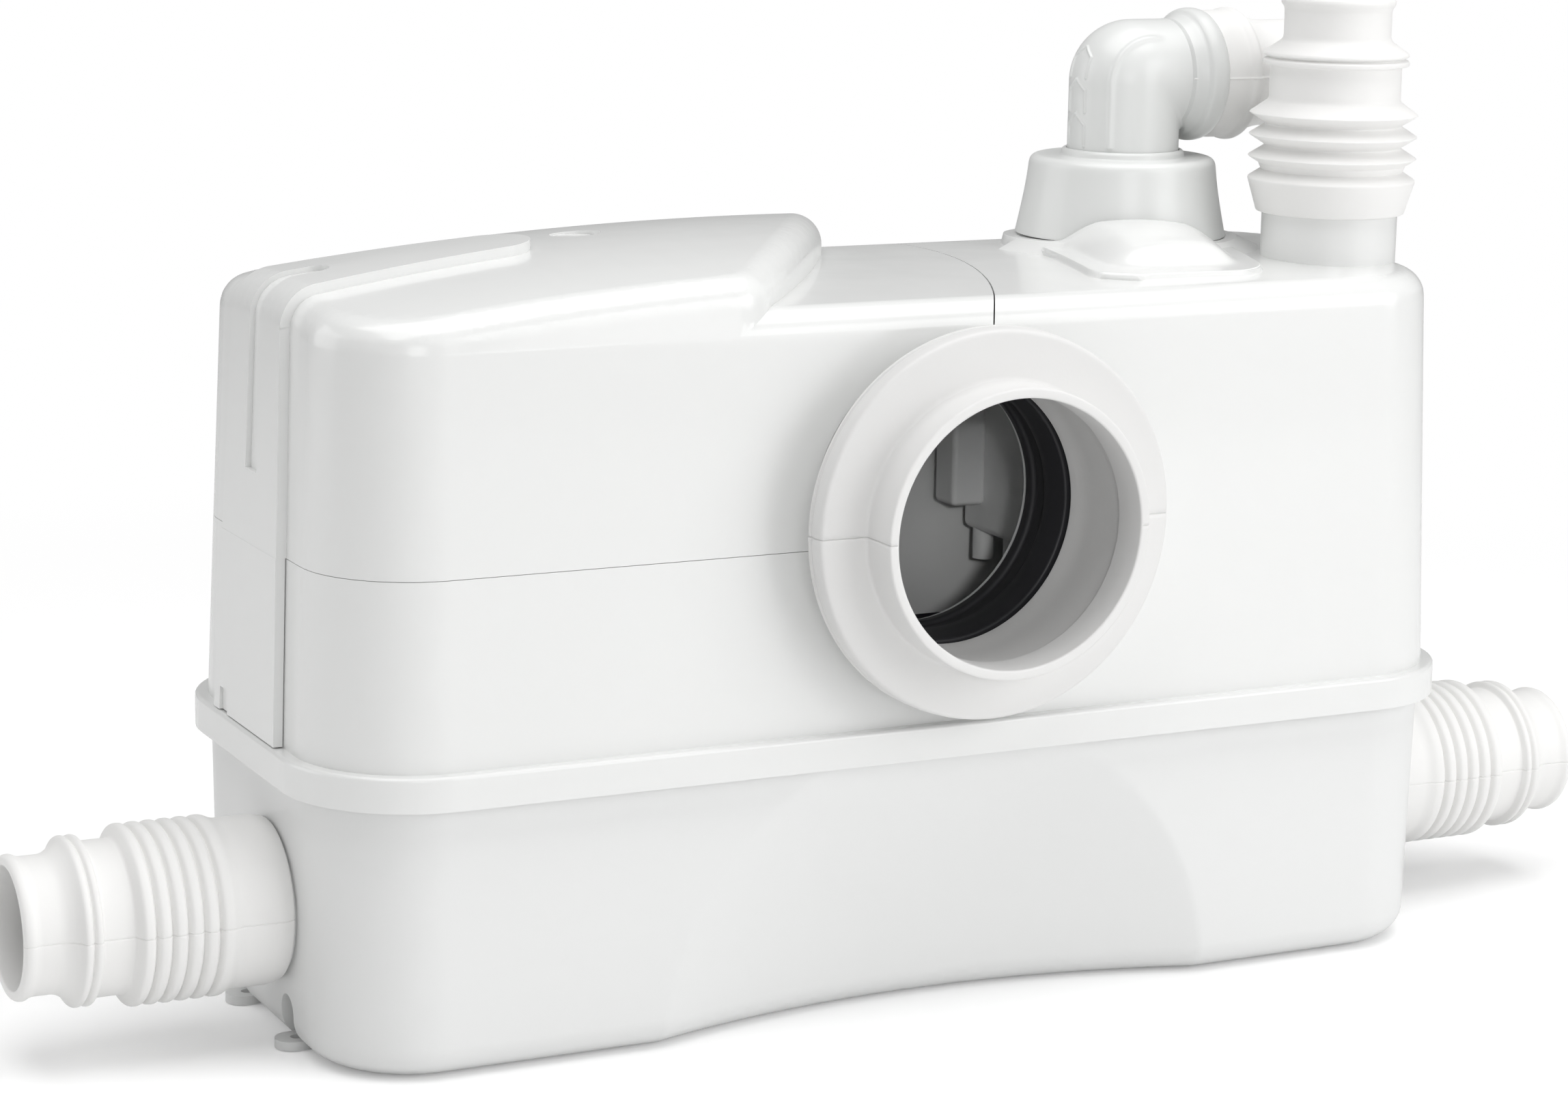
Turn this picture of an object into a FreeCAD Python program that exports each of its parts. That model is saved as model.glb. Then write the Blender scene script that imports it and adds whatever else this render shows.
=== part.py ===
"""Waste water pump: a small macerating lifting station, built as separate pieces.

Millimetres. X runs along the body, Y away from the pan side, Z up.
The origin is the centre of the tank's base, on the floor.
"""
import FreeCAD, Part
import math
import os

V = FreeCAD.Vector
X_AXIS = V(1, 0, 0)
Y_AXIS = V(0, 1, 0)
Z_AXIS = V(0, 0, 1)

# Fits and general clearances
fit = 0.05
seat_gap = 0.3
seam_gap = 0.5
overlap = 1.0

# Body: rim band, cover and tank
body_length = 440.0
body_depth = 172.0
rim_corner = 44.0
rim_bottom_z = 92.0
rim_top_z = 103.5
rim_wall = 2.6
rim_edge_r = 1.4
rim_web = 2.5
cover_ledge = 4.5
cover_wall = 3.0
cover_edge_z = 245.3
cover_crown = 2.5
cover_draft = 2.4
cover_edge_r = 10.0
tank_top_inset = 5.5
tank_base_inset = 7.0
tank_wall = 3.0
tank_floor = 3.5
tank_base_r = 11.0
tank_flange = 4.0
gasket_thickness = 2.0
gasket_width = 3.6

# Arched scoop in the tank's front wall: a shallow piece of a large ball
scoop_x = 5.0
scoop_foot_half = 104.7
scoop_top_gap = 2.0
scoop_depth = 17.1
scoop_edge_r = 10.0

# Motor hood
hood_bottom_z = 165.5
hood_wall = 2.8
seam_radius = 300.0
seam_centre_x = -242.6
seam_centre_y = 70.4
dome_radius = 616.0
dome_end_turn = 32.2
dome_peak_x = -10.5
dome_peak_z = 264.0
dome_rise_radius = 1386.0
dome_crown_radius = 411.0
dome_edge_r = 11.0
dome_corner_r = 18.0
dome_inset = 0.1
strap_height = 3.5
strap_tip_x = -118.0
strap_tip_half = 15.0
strap_corner_half = 24.0
strap_foot_half = 31.0
groove_half = 5.6
groove_depth = 1.8
groove_start_x = -188.0
groove_end_z = 190.0
latch_y = 17.0
latch_size = 8.0

# Dry motor bay under the hood
bay_wall_x = -50.0
bay_floor_z = 141.0
bay_floor = 3.0
step_top_z = 236.0
lip_height = 6.0
lip_wall = 2.0

# Pan inlet
pan_x = 9.7
pan_z = 173.5
pan_bore_r = 45.4
pan_neck_r = 48.9
pan_neck_front_y = -115.9
pan_flange_r = 66.3
pan_flange_front_y = -99.8
pan_flange_thickness = 8.6
boss_r = 57.0
boss_wall = 3.2
boss_back_y = -38.0
pan_plug_step = 1.0
pan_band_step = 0.8
seal_ring_length = 25.0
seal_lip_r = 41.8
seal_mouth_step = 1.0
seal_ledge = 2.0

# Side inlets
side_inlet_y = -12.0
side_inlet_z = 47.6
spigot_r = 25.2
spigot_wall = 2.8
spigot_length = 50.5
sleeve_start_x = 214.6
sleeve_wall = 2.4
sleeve_cuff_r = 28.4
sleeve_rib_r = 29.7
sleeve_valley_r = 27.8
sleeve_rib_pitch = 5.3
sleeve_rib_count = 6
sleeve_first_rib = 23.0
sleeve_plain_r = 25.7
sleeve_plain_end = 63.5
sleeve_bead_r = 27.9
sleeve_bead_pitch = 3.5
sleeve_neck_r = 22.8
sleeve_neck_start = 72.0
sleeve_end_bead_r = 24.0
sleeve_length = 88.6

# Top inlet
top_inlet_x = 185.0
top_inlet_y = -27.0
top_spigot_r = 24.4
top_spigot_bore_r = 20.4
top_band_z = 263.8
top_band_height = 12.1
top_band_low_r = 26.6
top_band_high_r = 30.2
top_rib_r = 30.4
top_valley_r = 24.2
top_rib_pitch = 7.8
top_rib_count = 3
top_plain_r = 23.6
top_lip_r = 26.2
top_neck_r = 19.2
top_end_bead_r = 20.5
top_wall = 2.2
top_tip_half = 0.2
top_plain_length = 12.5
top_lip_slope = 0.6
top_lip_width = 1.2
top_lip_gap = 1.0
top_cone_length = 4.2
top_neck_length = 11.0
top_bead_rise = 2.5
top_bead_fall = 1.9

# Discharge: saddle, boot, elbow and outlet sleeve
outlet_x = 131.3
outlet_y = 30.0
saddle_rise = 2.0
saddle_corner_r = 14.0
saddle_front_left = 55.3
saddle_front_right = 8.2
saddle_back_left = 32.3
saddle_back_right = 40.7
saddle_front_inset = 31.5
saddle_front_skew = 3.0
saddle_back = 15.0
hump_x = 119.0
hump_y = 0.0
hump_half_width = 34.0
hump_half_length = 52.0
hump_rise = 13.0
hump_turn = 16.0
boot_lip_z = 251.5
boot_lip_r = 38.8
boot_shoulder_r = 34.2
boot_top_z = 280.3
boot_wall = 2.6
boot_collar_r = 22.8
boot_collar_height = 2.6
boot_flare = 2.2
boot_flare_height = 10.0
boot_belly = 0.6
boot_belly_drop = 6.0
boot_round = 2.5
boot_collar_step = 1.0
elbow_r = 20.5
elbow_wall = 2.8
elbow_axis_z = 309.4
elbow_bend_r = 8.0
elbow_mouth_s = 30.5
elbow_mouth_r = 24.4
elbow_socket_r = 20.6
elbow_socket_depth = 14.0
elbow_ridge_r = 1.1
elbow_foot_z = 262.0
outlet_plug_wall = 2.6
outlet_collar_r = 23.4
outlet_bead_s = 43.0
outlet_bead_r = 24.4
outlet_neck_r = 19.6
outlet_end_s = 88.0
outlet_end_bead_r = 20.8
outlet_bead_half = 1.0
outlet_cone_length = 11.0
outlet_end_bead_length = 5.0

# Valve chamber hanging under the cover
chamber_left_x = 88.0
chamber_right_x = 170.0
chamber_front_y = 3.0
chamber_back_y = 66.0
chamber_floor_z = 137.0
chamber_roof_z = 205.0
chamber_wall = 3.0
neck_r = 17.6
neck_wall = 2.2
neck_top_z = 286.5
neck_boss_width = 12.0
chamber_flange_drop = 7.5
chamber_side_reach = 13.0
chamber_side_width = 15.0
chamber_side_rise = 11.0
chamber_side_height = 42.0
chamber_side_edge_r = 2.0
riser_y = 38.0
valve_seat_r = 13.0
valve_flap_r = 16.0
valve_flap_thickness = 2.5
valve_pin_r = 1.5
valve_flap_margin = 1.0
valve_knuckle_r = 2.4

# Stubs under the valve chamber: radius, length, distances from the left and the front wall
chamber_stubs = ((4.0, 11.0, 5.0, 55.0), (5.0, 24.0, 8.0, 35.0))
# Square lug beside them: width, length, distances from the left and the front wall
chamber_lug = (7.0, 16.0, 4.5, 5.0)

# Side inlet flaps
flap_r = 24.0
flap_thickness = 2.5
flap_pin_r = 1.6
flap_pin_rise = 29.2

# Motor and pump
motor_x = -93.0
motor_y = 17.7
motor_r = 38.5
motor_can_wall = 1.5
motor_base_z = 148.0
motor_top_z = 226.0
motor_flange_r = 42.0
motor_flange = 4.0
stator_r = 36.6
stator_bore_r = 20.5
stator_low_z = 166.0
stator_high_z = 206.0
winding_r = 33.0
winding_bore_r = 22.5
winding_overhang = 9.0
winding_edge_r = 2.0
rotor_r = 20.1
rotor_ring = 4.0
rotor_ring_step = 1.0
rotor_ring_bore_r = 9.0
shaft_r = 5.0
shaft_top_z = 240.0
shaft_low_z = 12.0
shaft_gap = 1.0
shaft_slot_half = 0.8
shaft_slot_depth = 2.5
cap_spigot = 3.0
bearing_r = 13.0
bearing_height = 9.0
column_r = 20.0
column_bore_r = 15.0
column_low_z = 78.0
column_shaft_gap = 2.0
seal_seat_height = 6.0
seal_height = 12.0
seal_face_step = 4.0
volute_r = 47.0
volute_low_z = 42.0
volute_wall = 3.0
volute_shaft_gap = 4.0
volute_spout = 16.0
throat_shift = 6.0
eye_step = 4.0
impeller_r = 34.0
impeller_disc = 3.0
impeller_blades = 6
impeller_blade_height = 13.0
impeller_blade_half = 1.25
impeller_hub_wall = 4.0
cutter_r = 24.0
cutter_height = 12.0
cutter_low_z = 17.0
cutter_hub_wall = 5.0
cutter_arms = 4
cutter_arm_half = 2.0
cutter_arm_rise = 2.0
cutter_arm_height = 5.0
strainer_r = 29.0
strainer_wall = 2.5
strainer_slots = 18
strainer_drop = 4.0
strainer_floor = 2.5
strainer_collar = 3.0
strainer_slot_half = 1.6
strainer_slot_rise = 5.0
strainer_slot_drop = 8.0
discharge_pipe_r = 15.0
discharge_pipe_wall = 2.0
discharge_pipe_z = 60.0
pipe_bend_r = 30.0

# Level control and electrics
level_x = -170.0
level_y = 30.0
level_tube_r = 11.0
level_tube_low_z = 40.0
level_tube_wall = 2.0
level_flange = 3.0
switch_r = 19.0
switch_height = 16.0
switch_wall = 3.0
switch_guide = 8.0
membrane_thickness = 1.2
plunger_r = 2.5
plunger_travel = 2.0
plunger_disc_r = 6.0
plunger_disc = 2.0
plunger_proud = 2.0
micro_half_length = 14.0
micro_half_width = 5.0
micro_height = 15.0
micro_post_x = 11.0
micro_post_half = 2.5
micro_post_half_width = 4.0
micro_tab_pitch = 9.0
tab_half = 0.4
tab_half_width = 2.5
micro_tab = 5.0
board_x = -196.0
board_y = -18.0
board_half_width = 28.0
board_half = 0.8
board_rise = 2.0
board_top = 56.0
board_post_y = 27.0
board_post_half = 3.5
board_post_half_width = 2.5
board_post_height = 22.0
# Relay and coil on the board: reach, depths from the board's middle, heights above its foot
board_parts = ((15.0, -20.0, -2.0, 26.0, 46.0), (12.0, 4.0, 20.0, 28.0, 42.0))
capacitor_r = 16.0
capacitor_x = -160.0
capacitor_y = -38.0
capacitor_height = 58.0
capacitor_edge_r = 1.5
capacitor_tab_x = 5.0
capacitor_tab = 7.0
gland_x = -178.0
gland_z = 152.0
gland_thread_r = 6.0
gland_thread_length = 16.0
gland_bore_r = 3.6
gland_hex_r = 9.5
gland_flange = 4.0
gland_dome_r = 8.2
gland_dome_top_r = 5.5
gland_dome_height = 11.0
gland_height = 14.0
gland_nut_height = 5.0
gland_nut_gap = 2.0
vent_x = -24.0
vent_y = 22.0
vent_r = 17.0
vent_height = 14.0
vent_edge_r = 2.0
vent_stub_reach = 3.0
vent_stub_wall = 1.8
vent_roof = 3.0
vent_holes = 8
vent_hole_r = 1.6
vent_hole_circle_r = 10.5
plug_r = 8.8
plug_recess = 1.2
plug_wall = 2.0
boss_gap = 1.8

# Terminal block beside the gland
terminal_offset = 22.0
terminal_pitch = 9.0
terminal_ways = 4
terminal_depth = 14.0
terminal_height = 13.0

# Floor lugs
lug_y = 26.0
lug_half_width = 6.0
lug_reach = 4.5
lug_height = 18.0
lug_plate = 3.0
lug_hole_r = 2.2

# Screws and plates
screw_r = 2.1
screw_head_r = 3.8
screw_head = 2.6
screw_socket_depth = 1.6
pump_plate = 4.0
pump_screw_length = 12.0
pump_screw_inset = 4.5
pump_boss_wall = 2.0


half_length = body_length / 2
half_depth = body_depth / 2
dome_centre_x = dome_peak_x - dome_radius * math.cos(math.radians(dome_end_turn))
dome_centre_y = dome_radius * math.sin(math.radians(dome_end_turn))
top_spigot_z = top_band_z + top_band_height - seat_gap
tank_top_z = rim_top_z - rim_web - gasket_thickness
scoop_top_z = tank_top_z - scoop_top_gap
scoop_arch_r = (scoop_top_z ** 2 + scoop_foot_half ** 2) / (2 * scoop_top_z)
scoop_centre_z = scoop_top_z - scoop_arch_r


def plan_wire(inset, z):
    """Rounded rectangle of the body's plan, drawn in by inset, at height z."""
    hx = half_length - inset
    hy = half_depth - inset
    r = rim_corner - inset
    k = r * math.sqrt(0.5)
    edges = []
    corners = ((hx - r, hy - r), (r - hx, hy - r), (r - hx, r - hy), (hx - r, r - hy))
    for i in range(4):
        cx, cy = corners[i]
        nx, ny = corners[(i + 1) % 4]
        start = math.pi / 2 * i
        a = V(cx + r * math.cos(start), cy + r * math.sin(start), z)
        middle = start + math.pi / 4
        b = V(cx + r * math.cos(middle), cy + r * math.sin(middle), z)
        end = start + math.pi / 2
        c = V(cx + r * math.cos(end), cy + r * math.sin(end), z)
        d = V(nx + r * math.cos(end), ny + r * math.sin(end), z)
        edges.append(Part.Arc(a, b, c).toShape())
        edges.append(Part.LineSegment(c, d).toShape())
    return Part.Wire(edges)


def plan_block(inset_low, z_low, inset_high, z_high):
    """Solid between two heights whose walls lean from one inset to the other."""
    return Part.makeLoft([plan_wire(inset_low, z_low), plan_wire(inset_high, z_high)], True, True)


def cover_inset(z):
    """How far the cover's outer wall stands in from the rim at height z."""
    return cover_ledge + (z - rim_top_z) * math.tan(math.radians(cover_draft))


def cover_block(offset, z_low, z_high):
    """The cover's drafted envelope, drawn in by offset."""
    return plan_block(cover_inset(z_low) + offset, z_low, cover_inset(z_high) + offset, z_high)


def cylinder(r, z_low, z_high, x, y):
    return Part.makeCylinder(r, z_high - z_low, V(x, y, z_low), Z_AXIS)


def box(x0, x1, y0, y1, z0, z1):
    return Part.makeBox(x1 - x0, y1 - y0, z1 - z0, V(x0, y0, z0))


def tube(r_out, r_in, z_low, z_high, x, y):
    return cylinder(r_out, z_low, z_high, x, y).cut(cylinder(r_in, z_low, z_high, x, y))


def cone(r_low, r_high, z_low, z_high, x, y):
    return Part.makeCone(r_low, r_high, z_high - z_low, V(x, y, z_low), Z_AXIS)


def turned(profile, x, y):
    """Solid turned about a vertical axis from (radius, height) corners."""
    points = [V(x + r, y, z) for r, z in profile]
    face = Part.Face(Part.makePolygon(points + [points[0]]))
    return face.revolve(V(x, y, 0), Z_AXIS, 360)


def turned_along(profile, origin, direction):
    """Solid turned about any axis from (radius, distance along it) corners."""
    solid = turned(profile, 0, 0)
    solid.Placement = FreeCAD.Placement(origin, FreeCAD.Rotation(Z_AXIS, direction))
    return solid


def ruled_tube(stations, origin, direction):
    """Ruled loft through circles given as (distance along the axis, radius)."""
    wires = []
    for s, r in stations:
        circle = Part.Circle(origin + direction * s, direction, r)
        wires.append(Part.Wire(circle.toShape()))
    return Part.makeLoft(wires, True, True)


def solid_of(shape):
    """The one solid in a shape, or the shape when it holds several."""
    clean = shape.removeSplitter()
    return clean.Solids[0] if len(clean.Solids) == 1 else Part.Compound(clean.Solids)


def cover_crown_prism(drop):
    """Everything under the cover's gently crowned top, lowered by drop."""
    half = half_depth - cover_inset(cover_edge_z)
    radius = (half ** 2 + cover_crown ** 2) / (2 * cover_crown)
    reach = half_depth + rim_corner
    z_peak = cover_edge_z + cover_crown
    z_side = z_peak - radius + math.sqrt(radius ** 2 - reach ** 2)
    a = V(-half_length, -reach, z_side - drop)
    b = V(-half_length, 0, z_peak - drop)
    c = V(-half_length, reach, z_side - drop)
    low = rim_bottom_z
    edges = [
        Part.Arc(a, b, c).toShape(),
        Part.LineSegment(c, V(-half_length, reach, low)).toShape(),
        Part.LineSegment(V(-half_length, reach, low), V(-half_length, -reach, low)).toShape(),
        Part.LineSegment(V(-half_length, -reach, low), a).toShape(),
    ]
    return Part.Face(Part.Wire(edges)).extrude(V(body_length, 0, 0))


def crown_z(y):
    """Height of the cover's top at depth y."""
    half = half_depth - cover_inset(cover_edge_z)
    radius = (half ** 2 + cover_crown ** 2) / (2 * cover_crown)
    return cover_edge_z + cover_crown - radius + math.sqrt(radius ** 2 - y ** 2)


def dome_crown_block(raise_by):
    """Everything under the dome's doubly crowned top, raised by raise_by."""
    reach = half_depth + rim_corner
    z_peak = dome_peak_z + raise_by
    radius = dome_crown_radius + raise_by
    z_side = z_peak - radius + math.sqrt(radius ** 2 - reach ** 2)
    low = rim_bottom_z
    x = dome_peak_x
    a = V(x, -reach, z_side)
    b = V(x, 0, z_peak)
    c = V(x, reach, z_side)
    edges = [
        Part.Arc(a, b, c).toShape(),
        Part.LineSegment(c, V(x, reach, low)).toShape(),
        Part.LineSegment(V(x, reach, low), V(x, -reach, low)).toShape(),
        Part.LineSegment(V(x, -reach, low), a).toShape(),
    ]
    face = Part.Face(Part.Wire(edges))
    centre = V(x, 0, dome_peak_z - dome_rise_radius)
    left = math.degrees((half_length + dome_peak_x + rim_corner) / dome_rise_radius)
    right = math.degrees(half_length / dome_rise_radius)
    face.rotate(centre, Y_AXIS, -left)
    return face.revolve(centre, Y_AXIS, left + right)


def top_edges(shape, z_floor):
    """Edges of the highest face, which bound a crowned top."""
    face = max(shape.Faces, key=lambda f: f.CenterOfMass.z)
    return [e for e in face.OuterWire.Edges if e.CenterOfMass.z > z_floor]


def cover_envelope(offset):
    """Drafted and crowned body of the cover, drawn in by offset, edges rounded."""
    low = rim_top_z - rim_web
    block = cover_block(offset, low, dome_peak_z + rim_web)
    body = block.common(cover_crown_prism(offset))
    return body.makeFillet(cover_edge_r - offset, top_edges(body, hood_bottom_z))


def dome_envelope(offset):
    """Dome over the motor, standing on the cover's own walls, drawn in by offset."""
    low = hood_bottom_z
    high = dome_peak_z + cover_edge_r
    block = cover_block(offset + dome_inset, low, high)
    end = cylinder(dome_radius - offset, low, high, dome_centre_x, dome_centre_y)
    body = block.common(dome_crown_block(-offset)).common(end)
    corners = [e for e in body.Edges if is_dome_corner(e)]
    body = body.makeFillet(dome_corner_r - offset, corners)
    return body.makeFillet(dome_edge_r - offset, top_edges(body, hood_bottom_z))


def is_dome_corner(edge):
    """True for the two upright edges where the dome's curved end meets the walls."""
    centre = edge.CenterOfMass
    tall = edge.BoundBox.ZLength > (dome_peak_z - hood_bottom_z) / 2
    beside = abs(centre.y) > half_depth - rim_corner
    return tall and beside and centre.x > strap_tip_x


def seam_zone(shift, z_low):
    """Plan region left of the hood's curved seam, moved right by shift."""
    return cylinder(seam_radius + shift, z_low, dome_peak_z + rim_corner, seam_centre_x, seam_centre_y)


def ring_block(inset_out, inset_in, z_low, z_high):
    """Band that follows the plan between two insets."""
    outer = plan_block(inset_out, z_low, inset_out, z_high)
    return outer.cut(plan_block(inset_in, z_low, inset_in, z_high))


def fuse_all(shapes):
    return shapes[0].multiFuse(shapes[1:])


def make_tank():
    """Deep tub with the scooped front, side spigots, hinge lugs and floor lugs."""
    flange_top = tank_top_z
    flange_z = flange_top - tank_flange
    outer = scooped(plan_block(tank_base_inset, 0, tank_top_inset, flange_top), scoop_ball(0), tank_base_r)
    low_inset = tank_base_inset + tank_wall
    hollow = plan_block(low_inset, tank_floor, tank_top_inset + tank_wall, flange_top)
    hollow = scooped(hollow, scoop_ball(tank_wall), tank_base_r - tank_wall)
    flange_inset = rim_wall + seat_gap
    flange = plan_block(flange_inset, flange_z, flange_inset, flange_top)
    lugs = [floor_lug(sx, sy) for sx in (-1, 1) for sy in (-1, 1)]
    body = fuse_all([outer, flange]).cut(hollow)
    body = fuse_all([body] + [lug.common(outer) for lug in lugs])
    for sx in (-1, 1):
        body = body.fuse(spigot(sx))
        body = body.cut(spigot_bore(sx)).fuse(flap_lugs(sx))
    for sx in (-1, 1):
        for sy in (-1, 1):
            body = body.cut(lug_pocket(sx, sy)).fuse(lug_foot(sx, sy))
    return solid_of(body)


def scoop_ball(offset):
    """Large ball whose shallow cut is scoop_depth deep and scoop_arch_r wide each way."""
    radius = (scoop_arch_r ** 2 + scoop_depth ** 2) / (2 * scoop_depth)
    y = tank_base_inset - half_depth + scoop_depth - radius
    return Part.makeSphere(radius + offset, V(scoop_x, y, scoop_centre_z))


def scooped(block, ball, base_r):
    """Block with the ball cut away, the arch's edge softened and the foot rounded."""
    base_z = block.BoundBox.ZMin
    body = block.cut(ball)
    body = body.makeFillet(scoop_edge_r, [e for e in body.Edges if is_arch_edge(e)])
    foot = [e for e in body.Edges if e.BoundBox.ZMax < base_z + tank_wall / 2]
    return body.makeFillet(base_r, foot)


def is_arch_edge(edge):
    """True for the two long edges where the ball meets the front wall."""
    bound = edge.BoundBox
    centre = edge.CenterOfMass
    long_edge = min(bound.ZLength, bound.XLength) > scoop_arch_r / 2
    return long_edge and centre.y < 0 and abs(centre.x - scoop_x) < scoop_arch_r


def floor_lug(sx, sy):
    """Block inside the end wall round a floor lug's pocket."""
    half = lug_half_width + tank_wall
    end = half_length - tank_base_inset
    depth = lug_half_width + 2 * tank_wall
    block = box(end - depth, end, -half, half, 0, lug_height + tank_wall)
    block.translate(V(0, sy * lug_y, 0))
    return block if sx > 0 else block.mirror(V(0, 0, 0), X_AXIS)


def lug_pocket(sx, sy):
    end = half_length - tank_base_inset
    depth = lug_half_width + tank_wall
    spring_z = lug_height - lug_half_width
    slot = box(end - depth, half_length, -lug_half_width, lug_half_width, -tank_wall, spring_z)
    arch = Part.makeCylinder(lug_half_width, half_length - end + depth, V(end - depth, 0, spring_z), X_AXIS)
    pocket = slot.fuse(arch)
    pocket.translate(V(0, sy * lug_y, 0))
    return pocket if sx > 0 else pocket.mirror(V(0, 0, 0), X_AXIS)


def lug_hole_x():
    return half_length - tank_base_inset - lug_half_width / 2


def lug_foot(sx, sy):
    """Foot plate at the bottom of a pocket with its screw hole."""
    end = half_length - tank_base_inset
    half = lug_half_width
    start = end - half - tank_wall
    plate = box(start, end + lug_reach - half, -half, half, 0, lug_plate)
    plate = plate.fuse(cylinder(half, 0, lug_plate, end + lug_reach - half, 0))
    plate = plate.cut(cylinder(lug_hole_r, -lug_plate, 2 * lug_plate, lug_hole_x(), 0))
    plate.translate(V(0, sy * lug_y, 0))
    return plate if sx > 0 else plate.mirror(V(0, 0, 0), X_AXIS)


def inner_seat_x():
    """Inner face of a side spigot, on which its flap closes."""
    return half_length - tank_top_inset - tank_base_inset - tank_wall


def spigot(sx):
    start = inner_seat_x()
    length = sleeve_start_x + spigot_length - start
    return Part.makeCylinder(spigot_r, length, V(sx * start, side_inlet_y, side_inlet_z), V(sx, 0, 0))


def spigot_bore(sx):
    start = inner_seat_x() - tank_wall
    length = sleeve_start_x + spigot_length - start + tank_wall
    origin = V(sx * start, side_inlet_y, side_inlet_z)
    return Part.makeCylinder(spigot_r - spigot_wall, length, origin, V(sx, 0, 0))


def flap_pin_x():
    return inner_seat_x() - seat_gap - flap_thickness / 2


def flap_lugs(sx):
    """Two ears on the end wall that carry a flap's pin."""
    reach = flap_pin_x() - 2 * flap_pin_r
    wall_x = half_length - tank_top_inset - tank_wall / 2
    z = side_inlet_z + flap_pin_rise
    half = flap_r / 2
    ears = []
    for sy in (-1, 1):
        y = sy * half
        thick = flap_thickness / 2
        ear = box(reach, wall_x, y - thick, y + thick, z - 2 * flap_pin_r, z + 2 * flap_pin_r)
        hole = Part.makeCylinder(flap_pin_r + fit, flap_r * 2, V(flap_pin_x(), -flap_r, z), Y_AXIS)
        ears.append(ear.cut(hole))
    pair = Part.Compound(ears)
    pair.translate(V(0, side_inlet_y, 0))
    return pair if sx > 0 else pair.mirror(V(0, 0, 0), X_AXIS)


def make_side_flap(sx):
    """Hanging flap on the inner end of a side spigot, with its hinge pin."""
    x = flap_pin_x()
    half = flap_thickness / 2
    z_pin = side_inlet_z + flap_pin_rise
    disc = Part.makeCylinder(flap_r, flap_thickness, V(x - half, 0, side_inlet_z), X_AXIS)
    tongue_half = flap_r / 2 - flap_thickness
    tongue = box(x - half, x + half, -tongue_half, tongue_half, side_inlet_z, z_pin)
    pin_half = flap_r / 2 + 2 * flap_thickness
    pin = Part.makeCylinder(flap_pin_r, 2 * pin_half, V(x, -pin_half, z_pin), Y_AXIS)
    knuckle = Part.makeCylinder(2 * flap_pin_r, 2 * tongue_half, V(x, -tongue_half, z_pin), Y_AXIS)
    flap = fuse_all([disc, tongue, pin, knuckle])
    flap.translate(V(0, side_inlet_y, 0))
    return solid_of(flap if sx > 0 else flap.mirror(V(0, 0, 0), X_AXIS))


def make_gasket():
    z_low = rim_top_z - rim_web - gasket_thickness
    inset = rim_wall + seat_gap + seam_gap
    return ring_block(inset, inset + gasket_width, z_low, z_low + gasket_thickness)


def wet_cavity():
    """Space inside the cover that is open to the tank."""
    low = rim_top_z - rim_web
    shift = seam_gap / 2 + cover_wall
    ceiling = hood_bottom_z - cover_wall
    main = cover_envelope(cover_wall).cut(seam_zone(shift, ceiling))
    floor_z = bay_floor_z - bay_floor
    partition = bay_wall_x + cover_wall
    bay = box(-half_length, partition, -half_depth, half_depth, floor_z, dome_peak_z)
    main = main.cut(bay)
    inset = hood_wall + 2 * fit + seat_gap + cover_wall
    step = cover_block(inset, floor_z, step_top_z - cover_wall)
    right = box(partition, half_length, -half_depth, half_depth, low, dome_peak_z)
    return [main, step.common(right)]


def dry_bay():
    """Open topped space for the motor and controls."""
    left = box(-half_length, bay_wall_x, -half_depth, half_depth, rim_bottom_z, dome_peak_z)
    lip_low = hood_bottom_z - 2 * lip_height
    inset = hood_wall + 2 * fit + seat_gap + lip_wall
    wide = cover_block(cover_wall, bay_floor_z, lip_low)
    narrow = cover_block(inset, bay_floor_z, hood_bottom_z + 2 * lip_height)
    return [wide.common(left), narrow.common(left)]


def step_body():
    """Stepped roof under the hood's right part and the low lip round the bay."""
    inset = hood_wall + 2 * fit + seat_gap
    low = hood_bottom_z - cover_wall
    right = box(bay_wall_x, half_length, -half_depth, half_depth, low, dome_peak_z)
    step = cover_block(inset, low, step_top_z).common(right)
    return [step, cover_block(inset, low, hood_bottom_z + lip_height)]


def saddle():
    """Raised seat round the boot: flat disc, plateau and the ramp in front of it."""
    top = boot_lip_z - seat_gap
    low = cover_edge_z - cover_wall / 2
    front_y = saddle_front_inset - half_depth
    back_y = outlet_y + saddle_back
    corners = [
        V(outlet_x - saddle_front_left, front_y, low),
        V(outlet_x + saddle_front_right, front_y - saddle_front_skew, low),
        V(outlet_x + saddle_back_right, back_y, low),
        V(outlet_x - saddle_back_left, back_y, low),
    ]
    prism = polygon_prism(corners, dome_peak_z - low)
    front = [e for e in prism.Edges if is_upright(e) and e.CenterOfMass.y < 0]
    prism = prism.makeFillet(saddle_corner_r, front)
    plateau = prism.common(cover_crown_prism(-saddle_rise))
    disc = cylinder(boot_lip_r + 2 * saddle_rise, low, top, outlet_x, outlet_y)
    well = cylinder(boot_lip_r + seam_gap, top, dome_peak_z, outlet_x, outlet_y)
    return [plateau, disc, hump(low).cut(well)]


def hump(low):
    """Smooth ramp in front of the boot: the upper half of a long flat egg."""
    stretch = FreeCAD.Matrix()
    stretch.scale(hump_half_width, hump_half_length, hump_rise)
    egg = Part.makeSphere(1.0).transformGeometry(stretch)
    egg.rotate(V(0, 0, 0), Z_AXIS, -hump_turn)
    egg.translate(V(hump_x, hump_y, cover_edge_z + cover_crown))
    return egg.common(box(0, half_length, -half_depth, half_depth, low, dome_peak_z))


def polygon_prism(corners, height):
    face = Part.Face(Part.makePolygon(corners + [corners[0]]))
    return face.extrude(V(0, 0, height))


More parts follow.
